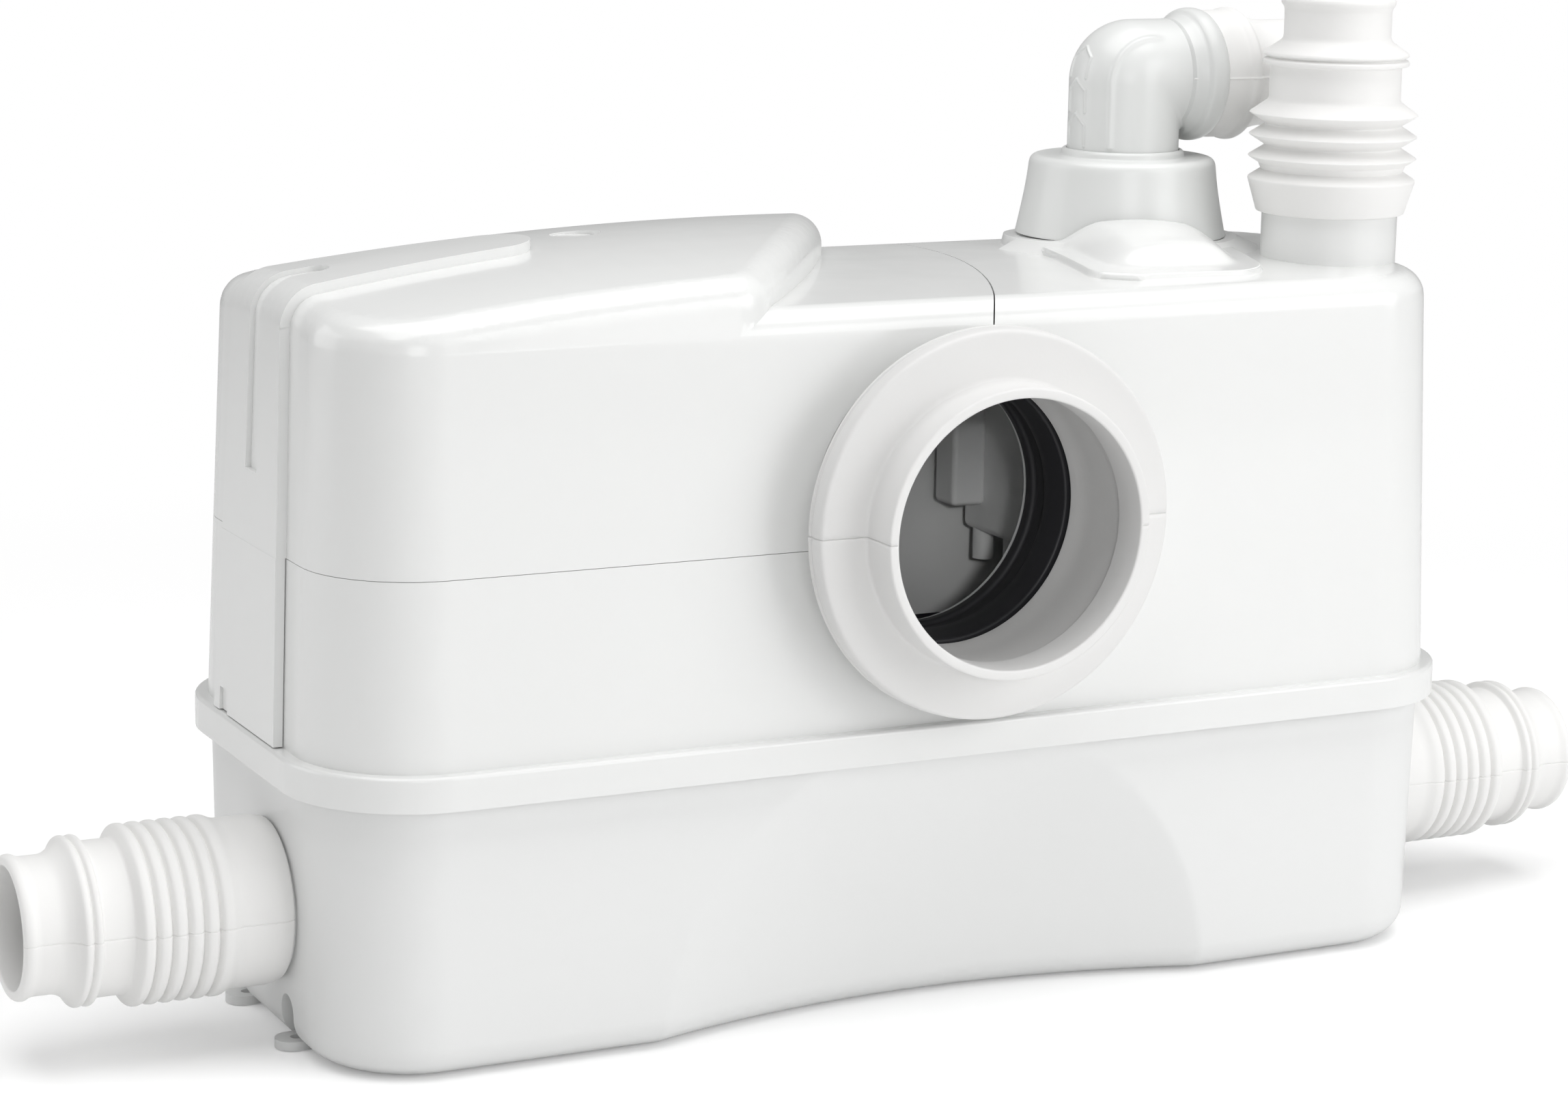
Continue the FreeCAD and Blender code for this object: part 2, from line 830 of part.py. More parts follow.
def is_upright(edge):
    bound = edge.BoundBox
    return bound.ZLength > overlap and bound.XLength < fit and bound.YLength < fit


def pan_axis_cylinder(r, y_front, y_back):
    return Part.makeCylinder(r, y_back - y_front, V(pan_x, y_front, pan_z), Y_AXIS)


def boss_front_y():
    return pan_flange_front_y + pan_flange_thickness


def rim_band():
    band = plan_block(0, rim_bottom_z, 0, rim_top_z)
    edges = [e for e in band.Edges if e.BoundBox.ZMin > rim_top_z - fit]
    band = band.makeFillet(rim_edge_r, edges)
    return band.cut(plan_block(rim_wall, rim_bottom_z, rim_wall, rim_top_z - rim_web))


def make_main_cover():
    """Drafted cover: skirt, step, dry bay, pan boss, saddle and the two spigots."""
    outer = cover_envelope(0).cut(seam_zone(seam_gap / 2, hood_bottom_z))
    body = fuse_all([outer, rim_band()] + step_body() + saddle())
    cavity = wet_cavity()
    for hollow in cavity + dry_bay():
        body = body.cut(hollow)
    under = fuse_all(cavity)
    body = body.fuse(pan_axis_cylinder(boss_r, boss_front_y(), boss_back_y))
    ceiling = cover_edge_z - 2 * cover_wall
    ring = tube(neck_boss_r(), neck_r + seat_gap, chamber_flange_z(), cover_edge_z, outlet_x, outlet_y)
    collar = cylinder(boot_lip_r - boot_wall - fit, ceiling, boot_lip_z + elbow_wall * 2, outlet_x, outlet_y)
    stub = cylinder(top_spigot_r, ceiling, top_spigot_z, top_inlet_x, top_inlet_y)
    body = fuse_all([body, ring.common(under), boot_ring(), stub.cut(under)])
    holes = [
        pan_axis_cylinder(seal_ring_r() + fit, -half_depth * 2, boss_back_y - seal_ledge),
        pan_axis_cylinder(pan_neck_r - 2 * seal_ledge, -half_depth * 2, boss_back_y + tank_wall),
        cylinder(neck_r + seat_gap, ceiling - cover_wall, dome_peak_z, outlet_x, outlet_y),
        cylinder(top_spigot_bore_r, ceiling, top_spigot_z + tank_wall, top_inlet_x, top_inlet_y),
        bay_hole(shaft_r + tank_wall, motor_x, motor_y),
        bay_hole(level_tube_r - level_tube_wall, level_x, level_y),
        cylinder(vent_stub_r() + fit, step_top_z - 2 * cover_wall, step_top_z + cover_wall, vent_x, vent_y),
        gland_hole(),
    ]
    for hole in holes + screw_holes():
        body = body.cut(hole)
    return solid_of(body)


def bay_hole(r, x, y):
    """Round hole through the bay's floor."""
    return cylinder(r, bay_floor_z - 2 * bay_floor, bay_floor_z + bay_floor, x, y)


def seal_ring_r():
    """Outer radius of the collar's plug and of the seal ring in the boss."""
    return pan_neck_r + pan_plug_step


def neck_boss_r():
    return neck_r + neck_boss_width


def chamber_flange_z():
    """Underside of the boss to which the valve chamber is screwed."""
    return cover_edge_z - chamber_flange_drop


def boot_ring():
    """Ring on the saddle that the boot is pushed over."""
    low = boot_lip_z - saddle_rise
    r = boot_inner_r() - fit
    return tube(r, r - boot_wall, low, boot_lip_z + 2 * cover_wall, outlet_x, outlet_y)


def boot_inner_r():
    return boot_shoulder_r - boot_wall


def vent_stub_r():
    return vent_r / 3


def gland_hole():
    start = V(gland_x, half_depth - rim_corner / 2, gland_z)
    return Part.makeCylinder(gland_thread_r + fit, 2 * cover_ledge + rim_corner, start, Y_AXIS)


def motor_screw_circle_r():
    return motor_flange_r - screw_head_r - 2 * seam_gap


def motor_screw_points():
    return polar(motor_x, motor_y, motor_screw_circle_r(), 4, 45.0)


def polar(x, y, r, count, start):
    """Points evenly spaced on a circle."""
    points = []
    for i in range(count):
        a = math.radians(start + 360.0 * i / count)
        points.append((x + r * math.cos(a), y + r * math.sin(a)))
    return points


def screw_holes():
    return [bay_hole(screw_r, x, y) for x, y in motor_screw_points()]


def hood_body(offset):
    """Hood's outer shape or its hollow, from the parting line up."""
    zone = seam_zone(-seam_gap / 2, hood_bottom_z)
    return cover_envelope(offset).common(zone).fuse(dome_envelope(offset))


def strap_solid():
    """Strap over the dome and down the left end, as a slice of a larger dome."""
    big = dome_envelope(-strap_height)
    corner_z = cover_edge_z - cover_edge_r / 2
    left = -half_length - strap_height
    corner_x = -half_length + cover_inset(corner_z)
    tip = strap_tip_x - strap_tip_half
    slope = (strap_corner_half - strap_tip_half) / (tip - corner_x)
    far = strap_corner_half + slope * (corner_x - left)
    points = [V(tip, -strap_tip_half, corner_z), V(tip, strap_tip_half, corner_z)]
    points += [V(left, far, corner_z), V(left, -far, corner_z)]
    top = polygon_prism(points, dome_peak_z)
    top = top.fuse(cylinder(strap_tip_half, corner_z, 2 * dome_peak_z, tip, 0))
    end_points = [V(left, -strap_foot_half, rim_top_z), V(left, strap_foot_half, rim_top_z)]
    end_points += [V(left, strap_corner_half, corner_z), V(left, -strap_corner_half, corner_z)]
    end = Part.Face(Part.makePolygon(end_points + [end_points[0]])).extrude(V(half_length / 2, 0, 0))
    return big.common(top), end


def make_motor_hood():
    """Removable hood: thin dome and apron, strap with its groove, tongue and cap seat."""
    top_strap, end_wedge = strap_solid()
    end_strap = dome_envelope(-strap_height).common(end_wedge)
    shell = fuse_all([hood_body(0), top_strap, end_strap])
    boss = cylinder(plug_r + 2 * plug_wall, plug_seat_z() - plug_wall, dome_peak_z, motor_x, motor_y)
    boss = boss.common(dome_envelope(hood_wall / 2))
    shell = fuse_all([shell.cut(hood_body(hood_wall)), boss, strap_tongue(end_wedge)])
    cuts = [
        cylinder(plug_r + fit, plug_seat_z(), 2 * dome_peak_z, motor_x, motor_y),
        cylinder(plug_r - plug_wall, bay_floor_z, 2 * dome_peak_z, motor_x, motor_y),
        pan_axis_cylinder(boss_r + boss_gap, -half_depth * 2, -half_depth / 2),
        groove(),
        latch_recess(),
    ]
    for cut in cuts:
        shell = shell.cut(cut)
    return solid_of(shell)


def strap_tongue(end_wedge):
    """Part of the strap that hangs over the cover's end wall down to the rim."""
    low = rim_top_z + seam_gap
    band = cover_block(-strap_height, low, hood_bottom_z)
    band = band.cut(cover_block(-seat_gap, low - overlap, hood_bottom_z + overlap))
    left = box(-half_length, -half_length + rim_corner, -half_depth, half_depth, low, hood_bottom_z)
    return band.common(end_wedge).common(left)


def plug_top_z():
    """Top of the access plug, sunk below the dome."""
    drop_x = (motor_x - dome_peak_x) ** 2 / (2 * dome_rise_radius)
    drop_y = motor_y ** 2 / (2 * dome_crown_radius)
    return dome_peak_z - drop_x - drop_y - plug_recess


def plug_seat_z():
    return plug_top_z() - 2 * plug_wall


def make_access_plug():
    return cylinder(plug_r, plug_seat_z() + fit, plug_top_z(), motor_x, motor_y)


def groove():
    """Shallow finger groove that runs over the left corner of the strap."""
    low = dome_envelope(groove_depth - strap_height)
    end_x = groove_start_x - groove_half
    high = 2 * dome_peak_z
    round_end = cylinder(groove_half, dome_peak_z - rim_corner, high, end_x, 0)
    run = box(-2 * half_length, end_x, -groove_half, groove_half, groove_end_z, high)
    return run.fuse(round_end).cut(low)


def latch_recess():
    """Small pocket at the strap's foot for a release tool."""
    x0 = -half_length - strap_height
    x1 = -half_length + cover_ledge / 2
    z0 = rim_top_z + seam_gap
    return box(x0, x1, latch_y, latch_y + latch_size, z0 - overlap, z0 + latch_size)


def pan_profile(points):
    """Solid turned about the pan axis; the distances run forward from the wall's mid plane."""
    return turned_along(points, V(pan_x, 0, pan_z), V(0, -1, 0))


def make_pan_collar():
    """Rubber collar: plug in the boss, wide flange and straight neck."""
    plug = -boss_back_y + seal_ring_length + 2 * seal_ledge
    back = -boss_front_y()
    front = -pan_flange_front_y
    tip = -pan_neck_front_y
    step = (tip - plug) / 3
    rise = pan_band_step
    points = [
        (pan_bore_r + 2 * rise, plug),
        (seal_ring_r(), plug),
        (seal_ring_r(), back + fit),
        (pan_flange_r, back + fit),
        (pan_flange_r - rise, front),
        (pan_neck_r, front),
        (pan_neck_r, tip),
        (pan_bore_r, tip),
        (pan_bore_r, tip - step),
        (pan_bore_r + rise, tip - step),
        (pan_bore_r + rise, tip - 2 * step),
        (pan_bore_r + 2 * rise, tip - 2 * step),
    ]
    return pan_profile(points)


def make_pan_seal():
    """Black lip seal behind the collar's plug."""
    back = -boss_back_y + seal_ledge
    front = back + seal_ring_length
    points = [
        (pan_bore_r - seal_mouth_step, front),
        (seal_ring_r(), front),
        (seal_ring_r(), back),
        (seal_lip_r, back),
        (seal_lip_r, back + seal_ledge),
    ]
    return pan_profile(points)


def make_side_sleeve(sx):
    """Ribbed rubber sleeve pushed over a side spigot."""
    origin = V(sx * sleeve_start_x, side_inlet_y, side_inlet_z)
    way = V(sx, 0, 0)
    half = sleeve_rib_pitch / 2
    cuff_end = sleeve_first_rib - sleeve_rib_pitch
    stations = [(0, sleeve_cuff_r), (cuff_end, sleeve_cuff_r), (cuff_end + half, sleeve_valley_r)]
    for i in range(sleeve_rib_count):
        s = sleeve_first_rib + i * sleeve_rib_pitch
        stations += [(s - half / 2, sleeve_rib_r), (s + half / 2, sleeve_rib_r)]
        stations += [(s + half, sleeve_valley_r)]
    last = sleeve_first_rib + sleeve_rib_count * sleeve_rib_pitch - half
    stations += [(last + half / 2, sleeve_plain_r), (sleeve_plain_end, sleeve_plain_r)]
    for i in range(2):
        s = sleeve_plain_end + i * sleeve_bead_pitch
        stations += [(s + half / 2, sleeve_bead_r), (s + half, sleeve_bead_r)]
        stations += [(s + half + seam_gap, sleeve_plain_r)]
    stations += [(sleeve_neck_start, sleeve_neck_r), (sleeve_length - 2 * half, sleeve_neck_r)]
    stations += [(sleeve_length - half, sleeve_end_bead_r), (sleeve_length, sleeve_neck_r)]
    body = ruled_tube(stations, origin, way)
    wide = Part.makeCylinder(spigot_r + fit, spigot_length + overlap, origin - way, way)
    mid = Part.makeCylinder(sleeve_plain_r - sleeve_wall, sleeve_neck_start - sleeve_wall, origin, way)
    narrow = Part.makeCylinder(sleeve_neck_r - sleeve_wall, sleeve_length + 2 * overlap, origin - way, way)
    for hollow in (wide, mid, narrow):
        body = body.cut(hollow)
    return solid_of(body)


def walked(start, steps):
    """Stations that follow each other by (step along the axis, radius)."""
    stations = []
    for step, r in steps:
        start += step
        stations.append((start, r))
    return stations


def make_top_sleeve():
    """Bellows sleeve on the top inlet."""
    origin = V(top_inlet_x, top_inlet_y, 0)
    half = top_rib_pitch / 2
    tip = top_tip_half
    steps = [(0, top_band_low_r), (top_band_height, top_band_high_r), (half, top_valley_r)]
    for i in range(top_rib_count):
        steps += [(half - tip, top_rib_r), (2 * tip, top_rib_r), (half - tip, top_valley_r)]
    bellows = walked(top_band_z, steps)
    plain = bellows[-1][0] + overlap
    end = walked(plain, [
        (0, top_plain_r),
        (top_plain_length, top_plain_r),
        (top_lip_slope, top_lip_r),
        (top_lip_width, top_lip_r),
        (top_lip_gap, top_plain_r),
        (top_lip_gap, top_lip_r),
        (top_lip_gap, top_lip_r),
        (top_cone_length, top_neck_r),
        (top_neck_length, top_neck_r),
        (top_bead_rise, top_end_bead_r),
        (top_bead_fall, top_neck_r),
    ])
    body = ruled_tube(bellows + end, origin, Z_AXIS)
    bore = top_spigot_r + fit
    seat_z = top_band_z + top_band_height
    inner = [(seat_z, bore)] + [(s, r - top_wall) for s, r in bellows[2:] + end[:2]]
    inner += [(end[7][0] - top_lip_gap, top_neck_r - top_wall), (end[-1][0] + overlap, top_neck_r - top_wall)]
    hollow = ruled_tube(inner, origin, Z_AXIS)
    socket = cylinder(bore, top_band_z - overlap, seat_z, top_inlet_x, top_inlet_y)
    return solid_of(body.cut(hollow).cut(socket))


def make_boot():
    """Bell shaped boot over the saddle ring, holding the elbow's foot."""
    r = boot_inner_r()
    top = boot_top_z + boot_collar_height
    roof = boot_top_z - boot_wall
    points = [
        (r, boot_lip_z),
        (boot_lip_r, boot_lip_z),
        (boot_shoulder_r + boot_flare, boot_lip_z + boot_flare_height),
        (boot_shoulder_r + boot_belly, boot_top_z - boot_belly_drop),
        (boot_shoulder_r, boot_top_z - boot_round),
        (boot_shoulder_r - boot_round, boot_top_z),
        (boot_collar_r, boot_top_z),
        (elbow_r + boot_collar_step, top),
        (elbow_r + seat_gap, top),
        (elbow_r + seat_gap, roof),
        (r, roof),
    ]
    return turned(points, outlet_x, outlet_y)


def elbow_flange_z():
    """Top of the elbow's foot flange, just under the boot's roof."""
    return boot_top_z - boot_wall - seat_gap


def make_elbow_ring():
    """Spacer on the saddle that carries the elbow's foot flange."""
    low = boot_lip_z - seat_gap + 2 * fit
    top = elbow_flange_z() - elbow_wall - seat_gap
    r_out = boot_inner_r() - boot_wall - seat_gap - fit
    return tube(r_out, elbow_r + seam_gap, low, top, outlet_x, outlet_y)


def bent_rod(r):
    """Tight quarter bend of a round rod from upright to the X direction."""
    bend_z = elbow_axis_z - elbow_bend_r
    bend_x = outlet_x + elbow_bend_r
    leg = cylinder(r, elbow_foot_z, bend_z, outlet_x, outlet_y)
    arm = Part.makeCylinder(r, elbow_mouth_s - elbow_bend_r, V(bend_x, outlet_y, elbow_axis_z), X_AXIS)
    disc = Part.Face(Part.Wire(Part.Circle(V(outlet_x, outlet_y, bend_z), Z_AXIS, r).toShape()))
    reach = 2 * r + elbow_bend_r
    y0 = outlet_y - reach
    y1 = outlet_y + reach
    keep = box(bend_x - reach, bend_x, y0, y1, bend_z - overlap, bend_z + overlap)
    half = disc.common(keep)
    turn = half.revolve(V(bend_x, outlet_y, bend_z), Y_AXIS, 90)
    return fuse_all([leg, arm, turn])


def elbow_ridge():
    """Raised line along the outer front of the elbow."""
    side = elbow_r * math.sqrt(0.5)
    bend_z = elbow_axis_z - elbow_bend_r
    bend_x = outlet_x + elbow_bend_r
    y = outlet_y - side
    x = outlet_x - side
    low = boot_top_z + boot_collar_height + overlap
    leg = cylinder(elbow_ridge_r, low, bend_z, x, y)
    disc = Part.Face(Part.Wire(Part.Circle(V(x, y, bend_z), Z_AXIS, elbow_ridge_r).toShape()))
    turn = disc.revolve(V(bend_x, y, bend_z), Y_AXIS, 90)
    run = elbow_mouth_s - elbow_bend_r - elbow_socket_depth / 2
    arm = Part.makeCylinder(elbow_ridge_r, run, V(bend_x, y, elbow_axis_z + side), X_AXIS)
    return fuse_all([leg, turn, arm])


def make_elbow():
    """Swivelling elbow with a foot flange below and a socket for the outlet sleeve."""
    flange_top = elbow_flange_z()
    flange = cylinder(elbow_r + 2 * elbow_wall, flange_top - elbow_wall, flange_top, outlet_x, outlet_y)
    mouth_x = outlet_x + elbow_mouth_s
    flare_start = mouth_x - elbow_socket_depth
    flare_points = [
        (elbow_r, 0),
        (elbow_mouth_r, elbow_socket_depth - elbow_wall),
        (elbow_mouth_r, elbow_socket_depth),
        (0, elbow_socket_depth),
        (0, 0),
    ]
    flare = turned_along(flare_points, V(flare_start, outlet_y, elbow_axis_z), X_AXIS)
    outer = fuse_all([bent_rod(elbow_r), flange, flare, elbow_ridge()])
    outer = outer.cut(bent_rod(elbow_r - elbow_wall))
    origin = V(flare_start, outlet_y, elbow_axis_z)
    socket = Part.makeCylinder(elbow_socket_r, 2 * elbow_socket_depth, origin, X_AXIS)
    return solid_of(outer.cut(socket))


def make_outlet_sleeve():
    """Rubber outlet sleeve plugged into the elbow's socket."""
    origin = V(outlet_x, outlet_y, elbow_axis_z)
    plug_start = elbow_mouth_s - elbow_socket_depth + seat_gap
    face = elbow_mouth_s + 2 * fit
    plug_r_out = elbow_socket_r - fit
    plug = ruled_tube([(plug_start, plug_r_out), (face, plug_r_out)], origin, X_AXIS)
    half = outlet_bead_half
    bead = outlet_bead_s
    end = outlet_end_s
    stations = [
        (face, outlet_collar_r),
        (bead - 2 * half, outlet_collar_r),
        (bead - half, outlet_bead_r),
        (bead + half, outlet_bead_r),
        (bead + 2 * half, outlet_collar_r - half),
        (bead + outlet_cone_length, outlet_neck_r),
        (end - outlet_end_bead_length, outlet_neck_r),
        (end - outlet_end_bead_length / 2, outlet_end_bead_r),
        (end, outlet_neck_r),
    ]
    body = ruled_tube(stations, origin, X_AXIS).fuse(plug)
    bore = Part.makeCylinder(outlet_neck_r - outlet_plug_wall, end, origin, X_AXIS)
    return solid_of(body.cut(bore))


def pipe_top_z():
    """End of the riser pipe in the chamber's floor spout."""
    return chamber_floor_z - seat_gap


def flap_pin_y():
    return riser_y + valve_flap_r + 2 * valve_pin_r


def valve_seat_z():
    return chamber_floor_z + 2 * chamber_wall


def chamber_side_box():
    """Small housing on the chamber's left wall."""
    x1 = chamber_left_x + overlap
    y1 = chamber_back_y - overlap
    z0 = chamber_floor_z + chamber_side_rise
    x0 = chamber_left_x - chamber_side_reach
    side = box(x0, x1, y1 - chamber_side_width, y1, z0, z0 + chamber_side_height)
    return side.makeFillet(chamber_side_edge_r, side.Edges)


def chamber_hangers():
    """Round stubs and a square lug under the chamber's floor."""
    top = chamber_floor_z + overlap
    pieces = []
    for r, length, from_left, from_front in chamber_stubs:
        x = chamber_left_x + from_left
        y = chamber_front_y + from_front
        pieces.append(cylinder(r, chamber_floor_z - length, top, x, y))
    width, length, from_left, from_front = chamber_lug
    x = chamber_left_x + from_left
    y = chamber_front_y + from_front
    pieces.append(box(x, x + width, y, y + width, chamber_floor_z - length, top))
    return pieces


def make_valve_chamber():
    """Closed housing under the cover with the outlet neck on top and stubs below."""
    wall = chamber_wall
    outer = box(
        chamber_left_x, chamber_right_x, chamber_front_y, chamber_back_y,
        chamber_floor_z, chamber_roof_z)
    outer = outer.makeFillet(wall, outer.Edges)
    inner = box(
        chamber_left_x + wall, chamber_right_x - wall, chamber_front_y + wall, chamber_back_y - wall,
        chamber_floor_z + wall, chamber_roof_z - wall)
    neck = cylinder(neck_r, chamber_roof_z - wall, neck_top_z, outlet_x, outlet_y)
    flange_z = chamber_flange_z() - 2 * fit
    flange = cylinder(neck_boss_r(), flange_z - wall, flange_z, outlet_x, outlet_y)
    floor_z = chamber_floor_z + overlap
    spout_r = discharge_pipe_r + 2 * fit + wall
    spout = cylinder(spout_r, chamber_floor_z - 4 * wall, floor_z, outlet_x, riser_y)
    seat = cylinder(valve_seat_r + wall, floor_z, valve_seat_z(), outlet_x, riser_y)
    body = outer.cut(inner)
    body = fuse_all([body, chamber_side_box(), neck, flange, spout, seat, valve_lugs()] + chamber_hangers())
    below_roof = chamber_roof_z - 2 * wall
    cuts = [
        cylinder(neck_r - neck_wall, below_roof, neck_top_z + overlap, outlet_x, outlet_y),
        cylinder(discharge_pipe_r + fit, 0, chamber_floor_z, outlet_x, riser_y),
        cylinder(valve_seat_r, 0, below_roof, outlet_x, riser_y),
    ]
    for x, y in chamber_screw_points():
        cuts.append(cylinder(screw_r, flange_z - 2 * wall, flange_z + overlap, x, y))
    for cut in cuts:
        body = body.cut(cut)
    return solid_of(body)


def chamber_screw_points():
    return polar(outlet_x, outlet_y, (neck_boss_r() + neck_r) / 2 + seam_gap, 4, 45.0)


def valve_lugs():
    """Ears behind the valve seat that carry the check flap's pin."""
    y = flap_pin_y()
    z = valve_pin_z()
    ears = []
    half = valve_flap_r / 2
    thick = chamber_wall / 2
    eye = 2 * valve_pin_r
    for sx in (-1, 1):
        x = outlet_x + sx * half
        ears.append(box(x - thick, x + thick, y - eye, y + eye, chamber_floor_z + overlap, z + eye))
    hole = Part.makeCylinder(valve_pin_r + fit, 4 * half, V(outlet_x - 2 * half, y, z), X_AXIS)
    return Part.Compound([ear.cut(hole) for ear in ears])


def valve_pin_z():
    return valve_seat_z() + seat_gap + valve_flap_thickness / 2


def make_check_flap():
    """Check valve flap lying on the chamber's seat, with its hinge pin."""
    z = valve_seat_z() + seat_gap
    top = z + valve_flap_thickness
    pin_y = flap_pin_y()
    pin_z = valve_pin_z()
    disc = cylinder(valve_flap_r - valve_flap_margin, z, top, outlet_x, riser_y)
    half = valve_flap_r / 2 - chamber_wall
    arm = box(outlet_x - half, outlet_x + half, riser_y, pin_y, z, top)
    pin_half = valve_flap_r / 2 + chamber_wall
    pin = Part.makeCylinder(valve_pin_r, 2 * pin_half, V(outlet_x - pin_half, pin_y, pin_z), X_AXIS)
    knuckle = Part.makeCylinder(valve_knuckle_r, 2 * half, V(outlet_x - half, pin_y, pin_z), X_AXIS)
    return solid_of(fuse_all([disc, arm, pin, knuckle]))


def screw_solid(x, y, z_head, length, up):
    """Pan headed screw with its head against z_head, pointing up or down."""
    way = Z_AXIS if up else Z_AXIS * -1
    shank = Part.makeCylinder(screw_r - fit, length, V(x, y, z_head), way)
    head = Part.makeCylinder(screw_head_r, screw_head, V(x, y, z_head), way * -1)
    origin = V(x, y, z_head) - way * (screw_head - screw_socket_depth)
    socket = Part.makeCylinder(screw_head_r / 2, screw_head, origin, way * -1)
    return solid_of(shank.fuse(head).cut(socket))


def make_chamber_screws():
    z = chamber_flange_z() - 2 * fit - chamber_wall
    length = chamber_wall + fit
    return Part.Compound([screw_solid(x, y, z - fit, length, True) for x, y in chamber_screw_points()])


def make_motor_screws():
    z = motor_base_z + fit
    length = z - bay_floor_z + bay_floor
    return Part.Compound([screw_solid(x, y, z, length, False) for x, y in motor_screw_points()])


def bay_gasket_z():
    return motor_base_z - motor_flange


def make_motor_gasket():
    body = tube(motor_flange_r, shaft_r + 2 * cover_wall, bay_floor_z, bay_gasket_z(), motor_x, motor_y)
    for x, y in motor_screw_points():
        body = body.cut(cylinder(screw_r, bay_floor_z - overlap, bay_gasket_z() + overlap, x, y))
    return solid_of(body)


def make_motor_flange():
    """Motor base plate with the lower bearing seat."""
    low = bay_gasket_z()
    plate = cylinder(motor_flange_r, low, motor_base_z, motor_x, motor_y)
    seat_top = motor_base_z + bearing_height
    seat = cylinder(bearing_r + cover_wall, motor_base_z - overlap, seat_top, motor_x, motor_y)
    body = plate.fuse(seat)
    body = body.cut(cylinder(shaft_r + shaft_gap, low - overlap, motor_base_z + overlap, motor_x, motor_y))
    body = body.cut(cylinder(bearing_r + fit, motor_base_z, motor_top_z, motor_x, motor_y))
    for x, y in motor_screw_points():
        body = body.cut(cylinder(screw_r, low - overlap, motor_base_z + overlap, x, y))
    return solid_of(body)


def bearing(z):
    return tube(bearing_r, shaft_r + fit, z, z + bearing_height, motor_x, motor_y)


def make_lower_bearing():
    return bearing(motor_base_z + fit)


def make_upper_bearing():
    return bearing(motor_top_z - cover_wall - bearing_height - fit)


def make_motor_can():
    """Motor can standing on the base plate round the stator."""
    wall = motor_can_wall
    waist_r = motor_screw_circle_r() - screw_head_r - seat_gap
    step_top = stator_low_z - winding_overhang - seat_gap
    step_low = step_top - wall
    waist = tube(waist_r, waist_r - wall, motor_base_z + fit, step_top, motor_x, motor_y)
    step = tube(motor_r, waist_r - wall, step_low, step_top, motor_x, motor_y)
    drum = tube(motor_r, motor_r - wall, step_low, motor_top_z - cover_wall, motor_x, motor_y)
    return solid_of(fuse_all([waist, step, drum]))


def make_motor_cap():
    """End cap on the can with the upper bearing seat."""
    low = motor_top_z - cover_wall + fit
    plate = tube(motor_r, shaft_r + shaft_gap, low, motor_top_z, motor_x, motor_y)
    seat_low = low - bearing_height - fit
    seat = tube(bearing_r + cover_wall, bearing_r + fit, seat_low, low + overlap, motor_x, motor_y)
    ring_r = motor_r - motor_can_wall - fit
    ring = tube(ring_r, motor_r - 3 * motor_can_wall, low - cap_spigot, low + overlap, motor_x, motor_y)
    return solid_of(fuse_all([plate, seat, ring]))


def make_stator_core():
    r = motor_r - motor_can_wall - fit
    return tube(r, stator_bore_r, stator_low_z, stator_high_z, motor_x, motor_y)


def make_stator_winding():
    """Copper end turns above and below the stator."""
    rings = []
    for z in (stator_low_z - winding_overhang, stator_high_z):
        ring = tube(winding_r, winding_bore_r, z, z + winding_overhang, motor_x, motor_y)
        ring = ring.makeFillet(winding_edge_r, round_edges(ring))
        rings.append(ring)
    return Part.Compound(rings)


def round_edges(shape):
    return [e for e in shape.Edges if e.Curve.TypeId == "Part::GeomCircle"]


def make_rotor_core():
    return tube(rotor_r, shaft_r + fit, stator_low_z, stator_high_z, motor_x, motor_y)


def make_rotor_rings():
    rings = []
    for z in (stator_low_z - rotor_ring, stator_high_z):
        ring_r = rotor_r - rotor_ring_step
        rings.append(tube(ring_r, rotor_ring_bore_r, z, z + rotor_ring, motor_x, motor_y))
    return Part.Compound(rings)


def make_motor_shaft():
    """Stepped shaft with a screwdriver slot on top, from the motor to the cutter."""
    body = cylinder(shaft_r, shaft_low_z, shaft_top_z, motor_x, motor_y)
    slot_low = shaft_top_z - shaft_slot_depth
    slot_high = shaft_top_z + overlap
    slot = box(-2 * shaft_r, 2 * shaft_r, -shaft_slot_half, shaft_slot_half, slot_low, slot_high)
    slot.translate(V(motor_x, motor_y, 0))
    return solid_of(body.cut(slot))


def make_pump_column():
    """Tube that hangs the pump under the bay floor, flanged at both ends."""
    top = bay_floor_z - bay_floor
    high = top + overlap
    plate_top = column_low_z + pump_plate
    body = cylinder(column_r, column_low_z, top, motor_x, motor_y)
    body = body.fuse(cylinder(motor_flange_r, top - pump_plate, top, motor_x, motor_y))
    body = body.fuse(cylinder(volute_r, column_low_z, plate_top, motor_x, motor_y))
    body = body.cut(cylinder(column_bore_r, plate_top, high, motor_x, motor_y))
    body = body.cut(cylinder(shaft_r + column_shaft_gap, 0, high, motor_x, motor_y))
    for x, y in motor_screw_points():
        body = body.cut(cylinder(screw_r, top - 2 * pump_plate, high, x, y))
    for x, y in pump_screw_points():
        body = body.cut(cylinder(screw_r, column_low_z - overlap, plate_top + overlap, x, y))
    return solid_of(body)


def pump_screw_points():
    return polar(motor_x, motor_y, volute_r - pump_screw_inset, 4, 0.0)


def make_pump_screws():
    z = column_low_z + pump_plate + fit
    return Part.Compound([screw_solid(x, y, z, pump_screw_length, False) for x, y in pump_screw_points()])


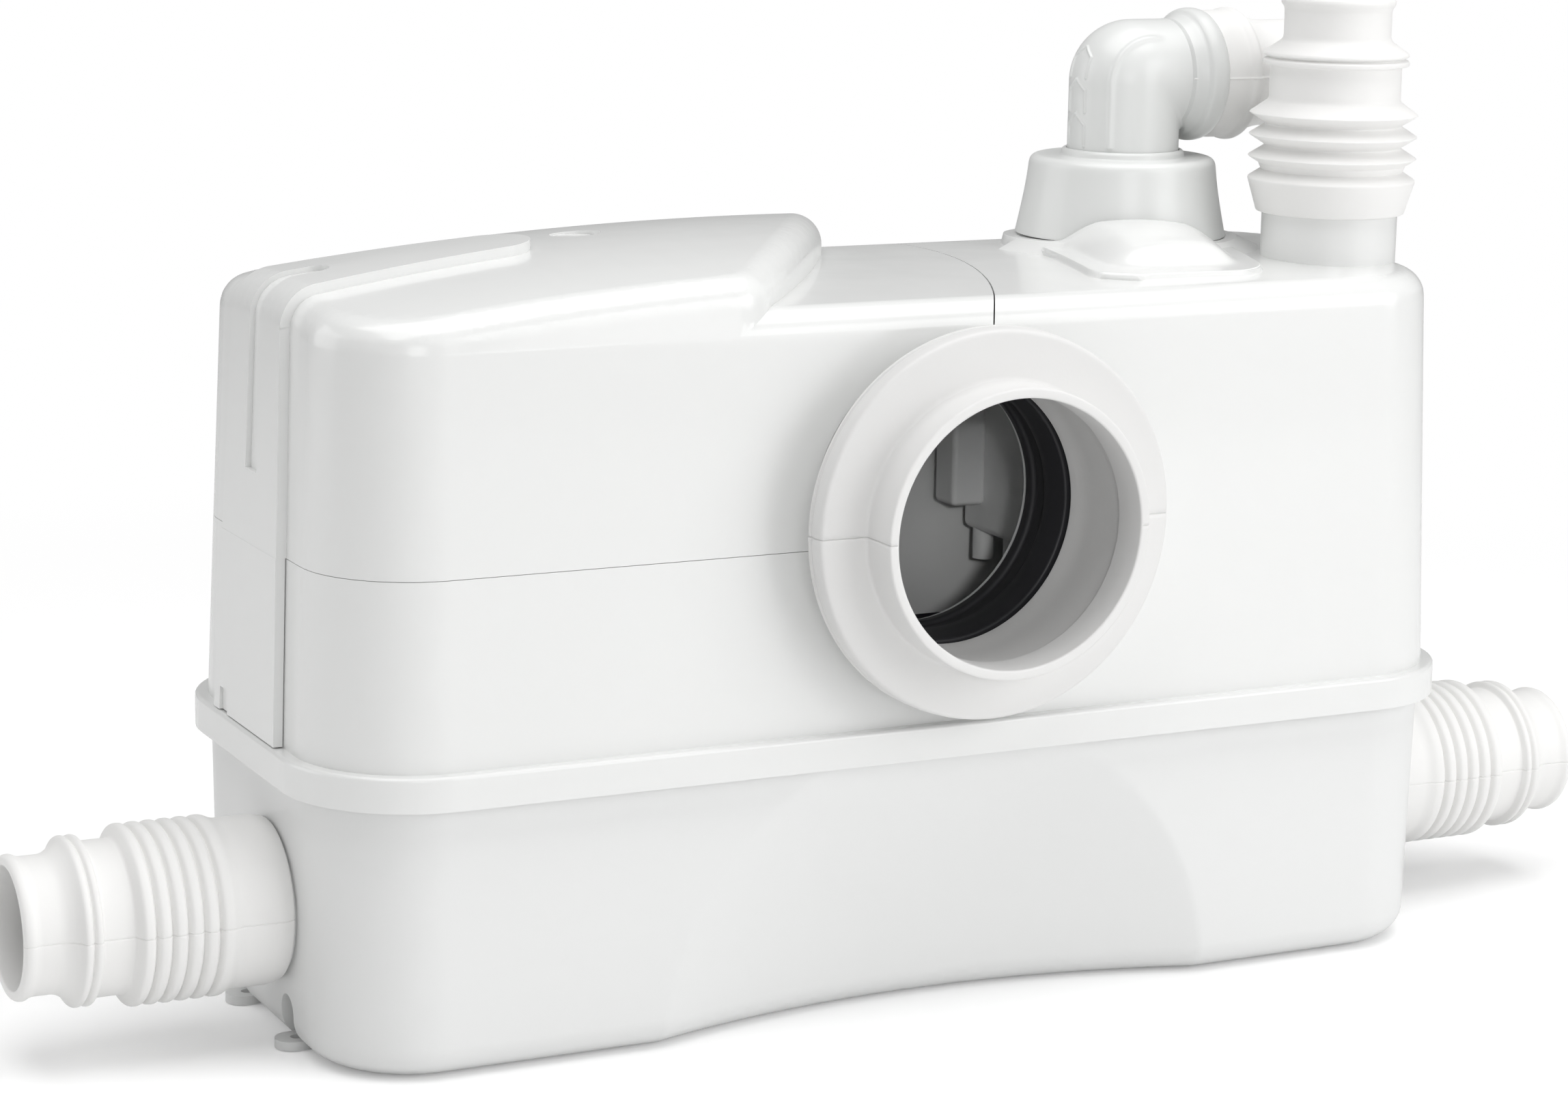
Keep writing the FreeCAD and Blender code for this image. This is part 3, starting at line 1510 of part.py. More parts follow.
def make_shaft_seal():
    """Carbon face seal pressed into the column round the shaft."""
    low = column_low_z + pump_plate + fit
    bore = shaft_r + seat_gap
    seat_top = low + seal_seat_height
    body = tube(column_bore_r - fit, bore, low, seat_top, motor_x, motor_y)
    face_r = column_bore_r - seal_face_step
    return solid_of(body.fuse(tube(face_r, bore, seat_top - overlap, low + seal_height, motor_x, motor_y)))


def make_pump_housing():
    """Volute under the column with its side outlet."""
    top = column_low_z - fit
    z = discharge_pipe_z
    reach = volute_r + volute_spout
    start = V(motor_x, riser_y, z)
    throat_start = V(motor_x, riser_y - throat_shift, z)
    socket_start = V(motor_x + volute_r, riser_y, z)
    body = cylinder(volute_r, volute_low_z, top, motor_x, motor_y)
    body = body.fuse(Part.makeCylinder(discharge_pipe_r + volute_wall, reach, start, X_AXIS))
    inner_r = volute_r - volute_wall
    throat_r = discharge_pipe_r - 2 * discharge_pipe_wall
    cuts = [
        cylinder(inner_r, volute_low_z + volute_wall, top - volute_wall, motor_x, motor_y),
        Part.makeCylinder(throat_r, reach + overlap, throat_start, X_AXIS),
        Part.makeCylinder(discharge_pipe_r + fit, volute_spout + overlap, socket_start, X_AXIS),
        cylinder(cutter_r - eye_step, 0, volute_low_z + 2 * volute_wall, motor_x, motor_y),
        cylinder(shaft_r + volute_shaft_gap, volute_low_z, top + overlap, motor_x, motor_y),
    ]
    for cut in cuts:
        body = body.cut(cut)
    hole_low = top - pump_screw_length
    boss_r = screw_r + pump_boss_wall
    bosses = [cylinder(boss_r, hole_low - seam_gap, top, x, y) for x, y in pump_screw_points()]
    body = fuse_all([body] + bosses)
    for x, y in pump_screw_points():
        body = body.cut(cylinder(screw_r, hole_low, top + overlap, x, y))
    return solid_of(body)


def make_impeller():
    """Open impeller: hub, disc and straight blades."""
    low = volute_low_z + 2 * volute_wall
    top = low + impeller_blade_height
    bore = shaft_r + fit
    hub_r = shaft_r + impeller_hub_wall
    disc = tube(impeller_r, bore, top, top + impeller_disc, motor_x, motor_y)
    hub = tube(hub_r, bore, low, top + overlap, motor_x, motor_y)
    blades = []
    half = impeller_blade_half
    for i in range(impeller_blades):
        blade = box(hub_r - overlap, impeller_r - overlap, -half, half, low, top + overlap)
        blade.rotate(V(0, 0, 0), Z_AXIS, 360.0 * i / impeller_blades)
        blade.translate(V(motor_x, motor_y, 0))
        blades.append(blade)
    return solid_of(fuse_all([disc, hub] + blades))


def make_cutter():
    """Macerating cutter on the shaft's lower end, inside the strainer."""
    hub_r = shaft_r + cutter_hub_wall
    hub = tube(hub_r, shaft_r + fit, cutter_low_z, cutter_low_z + cutter_height, motor_x, motor_y)
    arms = []
    half = cutter_arm_half
    low = cutter_low_z + cutter_arm_rise
    for i in range(cutter_arms):
        arm = box(hub_r - 2 * overlap, cutter_r, -half, half, low, low + cutter_arm_height)
        arm.rotate(V(0, 0, 0), Z_AXIS, 360.0 * i / cutter_arms)
        arm.translate(V(motor_x, motor_y, 0))
        arms.append(arm)
    return solid_of(fuse_all([hub] + arms))


def make_strainer():
    """Slotted ring under the pump that holds solids for the cutter."""
    low = shaft_low_z - strainer_drop
    top = volute_low_z - fit
    ring = tube(strainer_r, strainer_r - strainer_wall, low, top, motor_x, motor_y)
    collar = tube(strainer_r, cutter_r - eye_step, top - strainer_collar, top, motor_x, motor_y)
    floor = tube(strainer_r, shaft_r + shaft_gap, low, low + strainer_floor, motor_x, motor_y)
    body = fuse_all([ring, collar, floor])
    half = strainer_slot_half
    slot_low = low + strainer_slot_rise
    slot_high = top - strainer_slot_drop
    for i in range(strainer_slots):
        slot = box(strainer_r - 2 * strainer_wall, strainer_r + overlap, -half, half, slot_low, slot_high)
        slot.rotate(V(0, 0, 0), Z_AXIS, 360.0 * i / strainer_slots)
        slot.translate(V(motor_x, motor_y, 0))
        body = body.cut(slot)
    return solid_of(body)


def pipe_rod(r):
    """Run along the tank, a quarter bend and the riser to the valve chamber."""
    start = motor_x + volute_r + seat_gap
    y = riser_y
    bend_x = outlet_x - pipe_bend_r
    z = discharge_pipe_z
    run = Part.makeCylinder(r, bend_x - start, V(start, y, z), X_AXIS)
    disc = Part.Face(Part.Wire(Part.Circle(V(bend_x, y, z), X_AXIS, r).toShape()))
    turn = disc.revolve(V(bend_x, y, z + pipe_bend_r), Y_AXIS, -90)
    riser = Part.makeCylinder(r, pipe_top_z() - z - pipe_bend_r, V(outlet_x, y, z + pipe_bend_r), Z_AXIS)
    return fuse_all([run, turn, riser])


def make_discharge_pipe():
    return solid_of(pipe_rod(discharge_pipe_r).cut(pipe_rod(discharge_pipe_r - discharge_pipe_wall)))


def make_level_tube():
    """Dip tube under the bay floor whose trapped air works the level switch."""
    top = bay_floor_z - bay_floor
    body = cylinder(level_tube_r, level_tube_low_z, top, level_x, level_y)
    body = body.fuse(cylinder(switch_r, top - level_flange, top, level_x, level_y))
    bore = level_tube_r - level_tube_wall
    return solid_of(body.cut(cylinder(bore, 0, top + overlap, level_x, level_y)))


def make_membrane():
    z = bay_floor_z + fit
    return cylinder(switch_r, z, z + membrane_thickness, level_x, level_y)


def plunger_low_z():
    return bay_floor_z + membrane_thickness + seat_gap


def make_switch_body():
    """Pressure switch housing over the membrane, with the plunger's guide bore."""
    low = bay_floor_z + membrane_thickness + 2 * fit
    top = low + switch_height
    body = cylinder(switch_r, low, top, level_x, level_y)
    hollow = cylinder(switch_r - switch_wall, low - overlap, top - switch_wall, level_x, level_y)
    guide = cylinder(plunger_r + switch_wall, top - switch_guide, top - overlap, level_x, level_y)
    body = body.cut(hollow).fuse(guide)
    return solid_of(body.cut(cylinder(plunger_r + fit, low - overlap, top + overlap, level_x, level_y)))


def make_plunger():
    """Plunger between the membrane and the microswitch."""
    low = plunger_low_z()
    disc = cylinder(plunger_disc_r, low, low + plunger_disc, level_x, level_y)
    top = bay_floor_z + membrane_thickness + switch_height + plunger_proud
    return solid_of(disc.fuse(cylinder(plunger_r, low + overlap, top, level_x, level_y)))


def make_microswitch():
    """Snap switch on two posts above the plunger."""
    z = bay_floor_z + membrane_thickness + switch_height + 2 * fit
    low = z + plunger_proud + plunger_travel + seat_gap
    top = low + micro_height
    pieces = [upright(level_x, level_y, micro_half_length, micro_half_width, low, top)]
    for s in (-1, 1):
        pieces.append(upright(level_x + s * micro_post_x, level_y, micro_post_half, micro_post_half_width,
                              z, low + overlap))
    for s in (-1, 0, 1):
        pieces.append(upright(level_x + s * micro_tab_pitch, level_y, tab_half, tab_half_width,
                              top - overlap, top + micro_tab))
    return solid_of(fuse_all(pieces))


def upright(x, y, half_x, half_y, z_low, z_high):
    """Box round a vertical centre line."""
    return box(x - half_x, x + half_x, y - half_y, y + half_y, z_low, z_high)


def make_control_board():
    """Circuit board with its relay and coil, upright in two posts."""
    z0 = bay_floor_z + 2 * fit
    pieces = [upright(board_x, board_y, board_half, board_half_width, z0 + board_rise, z0 + board_top)]
    for s in (-1, 1):
        pieces.append(upright(board_x, board_y + s * board_post_y, board_post_half, board_post_half_width,
                              z0, z0 + board_post_height))
    for reach, y0, y1, low, high in board_parts:
        pieces.append(box(board_x, board_x + reach, board_y + y0, board_y + y1, z0 + low, z0 + high))
    return solid_of(fuse_all(pieces))


def make_capacitor():
    """Run capacitor standing on the bay floor."""
    z0 = bay_floor_z + 2 * fit
    top = z0 + capacitor_height
    can = cylinder(capacitor_r, z0, top, capacitor_x, capacitor_y)
    can = can.makeFillet(capacitor_edge_r, round_edges(can))
    pieces = [can]
    for s in (-1, 1):
        pieces.append(upright(capacitor_x + s * capacitor_tab_x, capacitor_y, tab_half_width, tab_half,
                              top - overlap, top + capacitor_tab))
    return solid_of(fuse_all(pieces))


def make_terminal_block():
    """Four way terminal block near the cable gland."""
    z0 = bay_floor_z + 2 * fit
    x0 = gland_x + terminal_offset
    y1 = gland_wall_y() - hood_wall - lip_wall - cover_wall
    y0 = y1 - terminal_depth
    block = box(x0, x0 + terminal_ways * terminal_pitch, y0, y1, z0, z0 + terminal_height)
    for i in range(terminal_ways):
        x = x0 + (i + 0.5) * terminal_pitch
        block = block.cut(cylinder(screw_r, z0 + terminal_height / 2, 2 * z0, x, (y0 + y1) / 2))
    return solid_of(block)


def gland_wall_y():
    return half_depth - cover_inset(gland_z)


def make_cable_gland():
    """Gland in the back wall: thread, hexagon flange and domed nut, with a bore."""
    y = gland_wall_y() + 2 * seat_gap
    body = hexagon(y, gland_flange)
    profile = [
        (0, gland_flange),
        (gland_dome_r, gland_flange),
        (gland_dome_r, gland_dome_height),
        (gland_dome_top_r, gland_height),
        (0, gland_height),
    ]
    dome = turned_along(profile, V(gland_x, y, gland_z), Y_AXIS)
    start = y - gland_thread_length
    thread_length = gland_thread_length + gland_flange
    thread = Part.makeCylinder(gland_thread_r, thread_length, V(gland_x, start, gland_z), Y_AXIS)
    length = gland_thread_length + gland_height + 2 * overlap
    bore = Part.makeCylinder(gland_bore_r, length, V(gland_x, start - overlap, gland_z), Y_AXIS)
    return solid_of(fuse_all([body, dome, thread]).cut(bore))


def hexagon(y, thickness):
    """Hexagon plate round the gland's axis, from depth y on."""
    points = []
    for i in range(6):
        a = math.radians(60 * i)
        points.append(V(gland_x + gland_hex_r * math.cos(a), y, gland_z + gland_hex_r * math.sin(a)))
    face = Part.Face(Part.makePolygon(points + [points[0]]))
    return face.extrude(V(0, thickness, 0))


def make_gland_nut():
    y = gland_wall_y() - hood_wall - lip_wall - gland_nut_gap - seat_gap - gland_nut_height
    length = gland_nut_height + 2 * overlap
    bore = Part.makeCylinder(gland_thread_r + fit, length, V(gland_x, y - overlap, gland_z), Y_AXIS)
    return hexagon(y, gland_nut_height).cut(bore)


def make_vent_filter():
    """Carbon vent filter on the step's roof, under the hood."""
    z0 = step_top_z + 2 * fit
    top = z0 + vent_height
    roof_z = top - vent_roof
    body = cylinder(vent_r, z0, top, vent_x, vent_y)
    body = body.makeFillet(vent_edge_r, [e for e in body.Edges if e.BoundBox.ZMin > z0 + overlap])
    stub_low = step_top_z - cover_wall - vent_stub_reach
    body = body.fuse(cylinder(vent_stub_r(), stub_low, z0 + overlap, vent_x, vent_y))
    bore = vent_stub_r() - vent_stub_wall
    body = body.cut(cylinder(bore, stub_low - overlap, roof_z, vent_x, vent_y))
    for x, y in polar(vent_x, vent_y, vent_hole_circle_r, vent_holes, 0.0):
        body = body.cut(cylinder(vent_hole_r, roof_z - 2 * overlap, top + overlap, x, y))
    return solid_of(body)


def nodes():
    """Every sub-part with its node name."""
    return {
        "tank": make_tank(),
        "tank_gasket": make_gasket(),
        "main_cover": make_main_cover(),
        "motor_hood": make_motor_hood(),
        "access_plug": make_access_plug(),
        "pan_collar": make_pan_collar(),
        "pan_seal_ring": make_pan_seal(),
        "inlet_sleeve_left": make_side_sleeve(-1),
        "inlet_sleeve_right": make_side_sleeve(1),
        "inlet_sleeve_top": make_top_sleeve(),
        "side_flap_left": make_side_flap(-1),
        "side_flap_right": make_side_flap(1),
        "discharge_boot": make_boot(),
        "elbow_spacer_ring": make_elbow_ring(),
        "discharge_elbow": make_elbow(),
        "outlet_sleeve": make_outlet_sleeve(),
        "valve_chamber": make_valve_chamber(),
        "check_valve_flap": make_check_flap(),
        "chamber_screws": make_chamber_screws(),
        "motor_gasket": make_motor_gasket(),
        "motor_flange": make_motor_flange(),
        "motor_screws": make_motor_screws(),
        "lower_bearing": make_lower_bearing(),
        "upper_bearing": make_upper_bearing(),
        "motor_can": make_motor_can(),
        "motor_end_cap": make_motor_cap(),
        "stator_core": make_stator_core(),
        "stator_winding": make_stator_winding(),
        "rotor_core": make_rotor_core(),
        "rotor_end_rings": make_rotor_rings(),
        "motor_shaft": make_motor_shaft(),
        "pump_column": make_pump_column(),
        "shaft_seal": make_shaft_seal(),
        "pump_housing": make_pump_housing(),
        "pump_screws": make_pump_screws(),
        "impeller": make_impeller(),
        "cutter_rotor": make_cutter(),
        "strainer_ring": make_strainer(),
        "discharge_pipe": make_discharge_pipe(),
        "level_tube": make_level_tube(),
        "level_membrane": make_membrane(),
        "level_switch_body": make_switch_body(),
        "level_plunger": make_plunger(),
        "microswitch": make_microswitch(),
        "control_board": make_control_board(),
        "run_capacitor": make_capacitor(),
        "terminal_block": make_terminal_block(),
        "cable_gland": make_cable_gland(),
        "gland_nut": make_gland_nut(),
        "vent_filter": make_vent_filter(),
    }


if __name__ == "__main__":
    os.makedirs("parts", exist_ok=True)
    for name, shape in nodes().items():
        shape.exportStep("parts/" + name + ".step")
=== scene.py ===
"""Finishes, fine surfaces, light and camera for the waste water pump.

Everything is in metres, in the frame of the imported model: X along the body,
Y away from the pan side, Z up, with the origin on the floor under the tank.
"""

import math

import bmesh
import bpy
import numpy as np
from bpy.props import FloatProperty, FloatVectorProperty, IntProperty, PointerProperty
from mathutils import Matrix


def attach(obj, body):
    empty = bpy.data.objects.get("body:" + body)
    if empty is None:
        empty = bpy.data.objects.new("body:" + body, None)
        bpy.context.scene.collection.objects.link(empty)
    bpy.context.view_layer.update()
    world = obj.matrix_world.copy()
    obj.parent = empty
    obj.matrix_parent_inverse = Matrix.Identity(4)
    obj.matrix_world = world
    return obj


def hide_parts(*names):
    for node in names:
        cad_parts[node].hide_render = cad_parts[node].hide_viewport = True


bl_info = {
    "name": "Waste Water Pump",
    "version": (1, 0, 0),
    "blender": (4, 5, 0),
    "location": "View3D > Sidebar > Pump",
    "description": "Dresses the packed waste water pump with its finishes and fine surfaces",
    "category": "Object",
}

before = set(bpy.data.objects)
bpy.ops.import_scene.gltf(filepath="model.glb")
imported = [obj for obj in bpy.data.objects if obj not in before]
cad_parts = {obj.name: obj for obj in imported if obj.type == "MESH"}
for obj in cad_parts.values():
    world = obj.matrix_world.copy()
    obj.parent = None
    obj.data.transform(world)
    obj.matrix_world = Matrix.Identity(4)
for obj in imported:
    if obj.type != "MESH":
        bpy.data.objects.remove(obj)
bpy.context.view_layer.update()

ROUND = 2 * math.pi
PARTING = np.array([0.25, 0.75]) * ROUND  # angles of a mould's two parting lines
CORNER_SHARE = 0.48  # largest share of a side that the rounding of a corner takes
MERGE = 2e-6  # vertices of a solid that are nearer than this are joined
SHARP = math.radians(30)  # faces that meet at a larger angle keep their edge
HOOD_RIM = 0.1655  # height of the hood's lower rim
SEAM = 0.0002  # how far that rim is raised
LINE_HALF = 0.0012  # half width of the elbow's raised line
WAVE_PITCH = 0.314  # distance between the bands of a wave texture of scale 1
RAMP_REACH = 0.096  # farthest place of the ramp from the boot's axis
RAMP_END = 0.00016  # height above the crown at which the ramp ends
EDGE = 0.0008  # how far its skin runs on from there
COVERED = 0.0004  # how far a covered surface lies under the one that shows


def length(part, kind, default):
    """Property for a length of a part in metres."""
    return FloatProperty(name=part.capitalize() + " " + kind, unit="LENGTH", precision=5,
                         description="%s of the %s" % (kind.capitalize(), part), default=default)


def angle(name, description, default):
    """Property for an angle."""
    return FloatProperty(name=name, description=description, subtype="ANGLE", default=default)


def number(name, description, default):
    """Property for a number without a unit."""
    return FloatProperty(name=name, description=description, min=0, default=default)


def power(name, description, default):
    """Property for the power of a lamp."""
    return FloatProperty(name=name, description=description, unit="POWER", min=0, default=default)


def colour(name, description, default):
    """Property for a colour."""
    return FloatVectorProperty(name=name, description=description, subtype="COLOR", size=3, min=0, max=1,
                               default=default)


class PumpColours(bpy.types.PropertyGroup):
    """Colours of the pump's finishes."""

    cover: colour("Cover", "Gloss plastic of cover and hood", (0.815, 0.82, 0.812))
    tank: colour("Tank", "Satin plastic of the tank", (0.80, 0.805, 0.80))
    collar: colour("Collar", "White rubber of the pan collar", (0.745, 0.742, 0.735))
    rubber: colour("Sleeves", "White rubber of the sleeves", (0.86, 0.856, 0.845))
    elbow: colour("Elbow", "Plastic of elbow and boot", (0.775, 0.785, 0.775))
    seal: colour("Seal", "Black rubber of seal, flaps and gaskets", (0.022, 0.022, 0.025))
    chamber: colour("Valve chamber", "Grey plastic of the valve chamber", (0.78, 0.785, 0.78))


class PumpPan(bpy.types.PropertyGroup):
    """Collar on the pan inlet and seal behind it, with places counted from the body's middle."""

    x: length("inlet axis", "X", 0.0097)
    z: length("inlet axis", "height", 0.1735)
    bore: length("bore", "radius", 0.0454)
    neck: length("neck", "radius", 0.0489)
    neck_front: length("mouth", "place", 0.1159)
    flange: length("flange", "radius", 0.0663)
    flange_front: length("flange's face", "place", 0.0998)
    flange_back: length("flange's back", "place", 0.09125)
    plug: length("plug", "radius", 0.0499)
    plug_back: length("plug's end", "place", 0.067)
    band: length("bore behind its mouth", "widening", 0.003)
    mouth_depth: length("narrow mouth", "depth", 0.0146)
    seal_lip: length("seal's lip", "radius", 0.0442)
    seal_back: length("seal's inner end", "place", 0.04)
    seal_front: length("seal's outer end", "place", 0.065)


class PumpSleeve(bpy.types.PropertyGroup):
    """Ribbed sleeves on the side inlets, with places counted from their inner end."""

    start: length("inner end", "X", 0.2146)
    y: length("inlet axis", "Y", -0.012)
    z: length("inlet axis", "height", 0.0476)
    reach: length("sleeve", "length", 0.0886)
    spigot: length("spigot inside", "radius", 0.02525)
    spigot_reach: length("spigot inside", "length", 0.0505)
    cuff: length("cuff", "radius", 0.0284)
    rib: length("ribs", "radius", 0.0297)
    valley: length("valleys", "radius", 0.0276)
    rib_pitch: length("ribs", "pitch", 0.0053)
    first_rib: length("first rib", "place", 0.023)
    ribs: IntProperty(name="Ribs", description="Number of ribs", min=1, default=6)
    plain: length("plain part", "radius", 0.0257)
    plain_end: length("plain part's end", "place", 0.0635)
    bead: length("two beads", "radius", 0.0279)
    bead_pitch: length("two beads", "pitch", 0.0035)
    neck: length("neck", "radius", 0.0228)
    neck_start: length("neck's start", "place", 0.072)
    end_bead: length("bead at the mouth", "radius", 0.024)
    wall: length("rubber", "thickness", 0.0024)


class PumpBellows(bpy.types.PropertyGroup):
    """Bellows sleeve on the top inlet."""

    x: length("inlet axis", "X", 0.185)
    y: length("inlet axis", "Y", -0.027)
    low: length("lower edge", "height", 0.2638)
    band_low: length("band's foot", "radius", 0.0266)
    band_high: length("band's top", "radius", 0.0302)
    band_height: length("conical band", "width", 0.0121)
    rib: length("tips", "radius", 0.0304)
    valley: length("valleys", "radius", 0.0242)
    pitch: length("tips", "pitch", 0.0078)
    ribs: IntProperty(name="Tips", description="Number of tips", min=1, default=3)
    plain: length("plain part", "radius", 0.0236)
    lip: length("two thin lips", "radius", 0.0262)
    neck: length("neck", "radius", 0.0192)
    end_bead: length("bead at the mouth", "radius", 0.0205)
    spigot: length("spigot inside", "radius", 0.02445)
    spigot_top: length("spigot's end", "height", 0.2759)
    wall: length("rubber", "thickness", 0.0022)


class PumpOutlet(bpy.types.PropertyGroup):
    """Boot, elbow and outlet sleeve, with places counted from the upright axis."""

    x: length("upright axis", "X", 0.1313)
    y: length("upright axis", "Y", 0.03)
    lip_z: length("boot's lower edge", "height", 0.2515)
    lip: length("boot's lower edge", "radius", 0.0388)
    shoulder: length("boot's shoulder", "radius", 0.0342)
    boot_top: length("boot's top", "height", 0.2803)
    boot_wall: length("boot", "thickness", 0.0026)
    boot_collar: length("boot's collar", "radius", 0.0228)
    collar_height: length("boot's collar", "rise", 0.0026)
    pipe: length("elbow", "outer radius", 0.0205)
    pipe_wall: length("elbow", "thickness", 0.0028)
    foot_z: length("elbow's lower end", "height", 0.262)
    flange_top: length("elbow's foot flange", "height", 0.2774)
    axis_z: length("level axis", "height", 0.3094)
    bend: length("bend's centre line", "radius", 0.002)
    crease: length("bend's inner corner", "radius", 0.002)
    mouth_s: length("mouth", "place", 0.0305)
    mouth: length("ring at the mouth", "radius", 0.0244)
    socket: length("socket", "radius", 0.0206)
    socket_depth: length("socket", "depth", 0.014)
    ridge: length("raised lines", "rise", 0.0008)
    arrow: length("raised arrow", "length", 0.0125)
    hose_collar: length("sleeve's collar", "radius", 0.0234)
    hose_bead_s: length("sleeve's bead", "place", 0.043)
    hose_bead: length("sleeve's bead", "radius", 0.0244)
    hose_neck: length("sleeve's neck", "radius", 0.0196)
    hose_end_s: length("sleeve's end", "place", 0.088)
    hose_end_bead: length("sleeve's end bead", "radius", 0.0208)
    hose_wall: length("sleeve", "thickness", 0.0026)


class PumpRamp(bpy.types.PropertyGroup):
    """Smooth ramp from the cover's top to the boot, on a plateau laid out from the boot's axis."""

    crown: length("cover's top", "height", 0.2478)
    crown_radius: length("cover's crowned top", "radius", 1.147)
    inner: length("edge round the boot", "radius", 0.0393)
    seat: length("seat round the boot", "radius", 0.043)
    seat_rise: length("seat", "rise", 0.0036)
    seat_slope: number("Seat slope", "Fall of the seat's cone in front", 0.45)
    back_slope: number("Back slope", "Further fall of the cone behind the boot", 4.0)
    step: length("plateau's edge", "rise", 0.00215)
    step_width: length("plateau's rounded edge", "width", 0.0014)
    corner: length("plateau's corners", "radius", 0.0135)
    front: length("front edge", "distance", 0.0849)
    skew: length("front edge's right end", "lead", 0.003)
    back: length("back edge", "distance", 0.0185)
    front_left: length("front edge's left end", "distance", 0.0581)
    front_right: length("front edge's right end", "distance", 0.0082)
    back_left: length("back edge's left end", "distance", 0.0345)
    back_right: length("back edge's right end", "distance", 0.042)
    rise: length("ramp's crest", "rise", 0.0132)
    crest_x: length("ramp's crest", "X", 0.119)
    half_width: length("ramp", "half width", 0.046)
    half_length: length("ramp", "length", 0.06)
    turn: angle("Turn", "Turn of the ramp seen from above", 0.27925)
    blend: length("hollow round the ramp", "size", 0.0016)
    margin: length("ramp's border", "width", 0.02)
    limit: length("top inlet's room", "start", 0.158)


class PumpStage(bpy.types.PropertyGroup):
    """Camera and light."""

    camera_place: FloatVectorProperty(
        name="Camera place", description="Where the camera stands", subtype="TRANSLATION",
        unit="LENGTH", size=3, default=(-0.60662, -1.18403, 0.42169))
    camera_yaw: angle("Yaw", "Turn of the view from +Y towards +X", 0.460076)
    camera_pitch: angle("Pitch", "Tilt of the view below the horizon", 0.204109)
    camera_roll: angle("Roll", "Roll of the view", -0.0178725)
    camera_lens: number("Lens", "Focal length for a 36 mm wide sensor", 88.062)
    key_power: power("Key light", "Large light on the left", 6.5)
    fill_power: power("Fill light", "Large light on the right", 16.0)
    front_power: power("Front light", "Light beside the camera", 3.0)
    top_power: power("Top light", "Light overhead", 27.0)
    inlet_power: power("Inlet spot", "Narrow spot that looks into the pan inlet", 15.0)
    world_level: number("Surround", "Brightness of the surround as it lights the object", 0.27)
    mirror_level: number("Mirrored surround", "Brightness of the surround in reflections", 0.30)
    floor_white: number("Floor", "Brightness of the floor's paper", 0.9)
    floor_lift: number("Floor lift", "Light added to the floor as the camera sees it", 0.21)


def feed(tree, node, inputs):
    """Give a node's inputs values or link them to other nodes' sockets."""
    for name, value in inputs.items():
        if isinstance(value, bpy.types.NodeSocket):
            tree.links.new(value, node.inputs[name])
        else:
            node.inputs[name].default_value = value


def new_node(tree, kind, output, inputs=None, **settings):
    """Add a shader node with its settings and inputs, and return one of its outputs."""
    node = tree.nodes.new("ShaderNode" + kind)
    for name, value in settings.items():
        setattr(node, name, value)
    feed(tree, node, inputs or {})
    return node.outputs[output]


def new_material(name):
    """Node material, as (material, tree, shader)."""
    material = bpy.data.materials.new(name)
    material.use_nodes = True
    tree = material.node_tree
    return material, tree, tree.nodes["Principled BSDF"]


def cloud(tree, scale, detail, squeeze=1):
    """Soft noise in the object's own coordinates, squeezed together along Z."""
    place = new_node(tree, "TexCoord", "Object")
    place = new_node(tree, "Mapping", "Vector", {"Vector": place, "Scale": (1, 1, squeeze)})
    return new_node(tree, "TexNoise", "Fac", {"Vector": place, "Scale": scale, "Detail": detail})


def tinted(tree, pattern, colour, change):
    """Colour that drifts with a pattern by a small share of itself."""
    dark, light = ([min(1, c * (1 + sign * change)) for c in colour] + [1] for sign in (-1, 1))
    return new_node(tree, "Mix", "Result", {"Factor": pattern, "A": dark, "B": light}, data_type="RGBA")


def spread(tree, pattern, value, low, high):
    """Value that a pattern moves between its low and its high multiple, 1 at the most."""
    inputs = {"Value": pattern, "To Min": value * low, "To Max": min(1, value * high)}
    return new_node(tree, "MapRange", "Result", inputs)


def relief(tree, pattern, strength, distance):
    """Normal of a surface that a pattern raises."""
    inputs = {"Height": pattern, "Strength": strength, "Distance": distance}
    return new_node(tree, "Bump", "Normal", inputs)


def moulded_plastic(name, colour, roughness, coat=0.0):
    """Injection moulded plastic: faint ripple, slow drift of colour and of gloss."""
    material, tree, shader = new_material(name)
    feed(tree, shader, {
        "Base Color": tinted(tree, cloud(tree, scale=6.0, detail=2.0), colour, change=0.012),
        "Roughness": spread(tree, cloud(tree, scale=40.0, detail=4.0), roughness, low=0.8, high=1.2),
        "Normal": relief(tree, cloud(tree, scale=55.0, detail=1.0), strength=0.05, distance=0.0006),
        "Coat Weight": coat, "Coat Roughness": 0.06, "IOR": 1.5})
    return material


def soft_rubber(name, colour, roughness):
    """Moulded rubber: matte skin with fine grain and slight cloudiness."""
    material, tree, shader = new_material(name)
    grain = cloud(tree, scale=900.0, detail=3.0)
    feed(tree, shader, {
        "Base Color": tinted(tree, cloud(tree, scale=18.0, detail=3.0), colour, change=0.02),
        "Roughness": spread(tree, grain, roughness, low=0.88, high=1.12),
        "Normal": relief(tree, grain, strength=0.10, distance=0.0002),
        "Specular IOR Level": 0.35, "Sheen Weight": 0.04})
    return material


def metal(name, colour, roughness, scale, squeeze=1):
    """Bare metal with an even grain, or with fine streaks across Z where it is squeezed."""
    material, tree, shader = new_material(name)
    grain = cloud(tree, scale, detail=5.0, squeeze=squeeze)
    feed(tree, shader, {
        "Base Color": tinted(tree, grain, colour, change=0.08),
        "Roughness": spread(tree, grain, roughness, low=0.7, high=1.3),
        "Normal": relief(tree, grain, strength=0.12, distance=0.0002), "Metallic": 1.0})
    return material


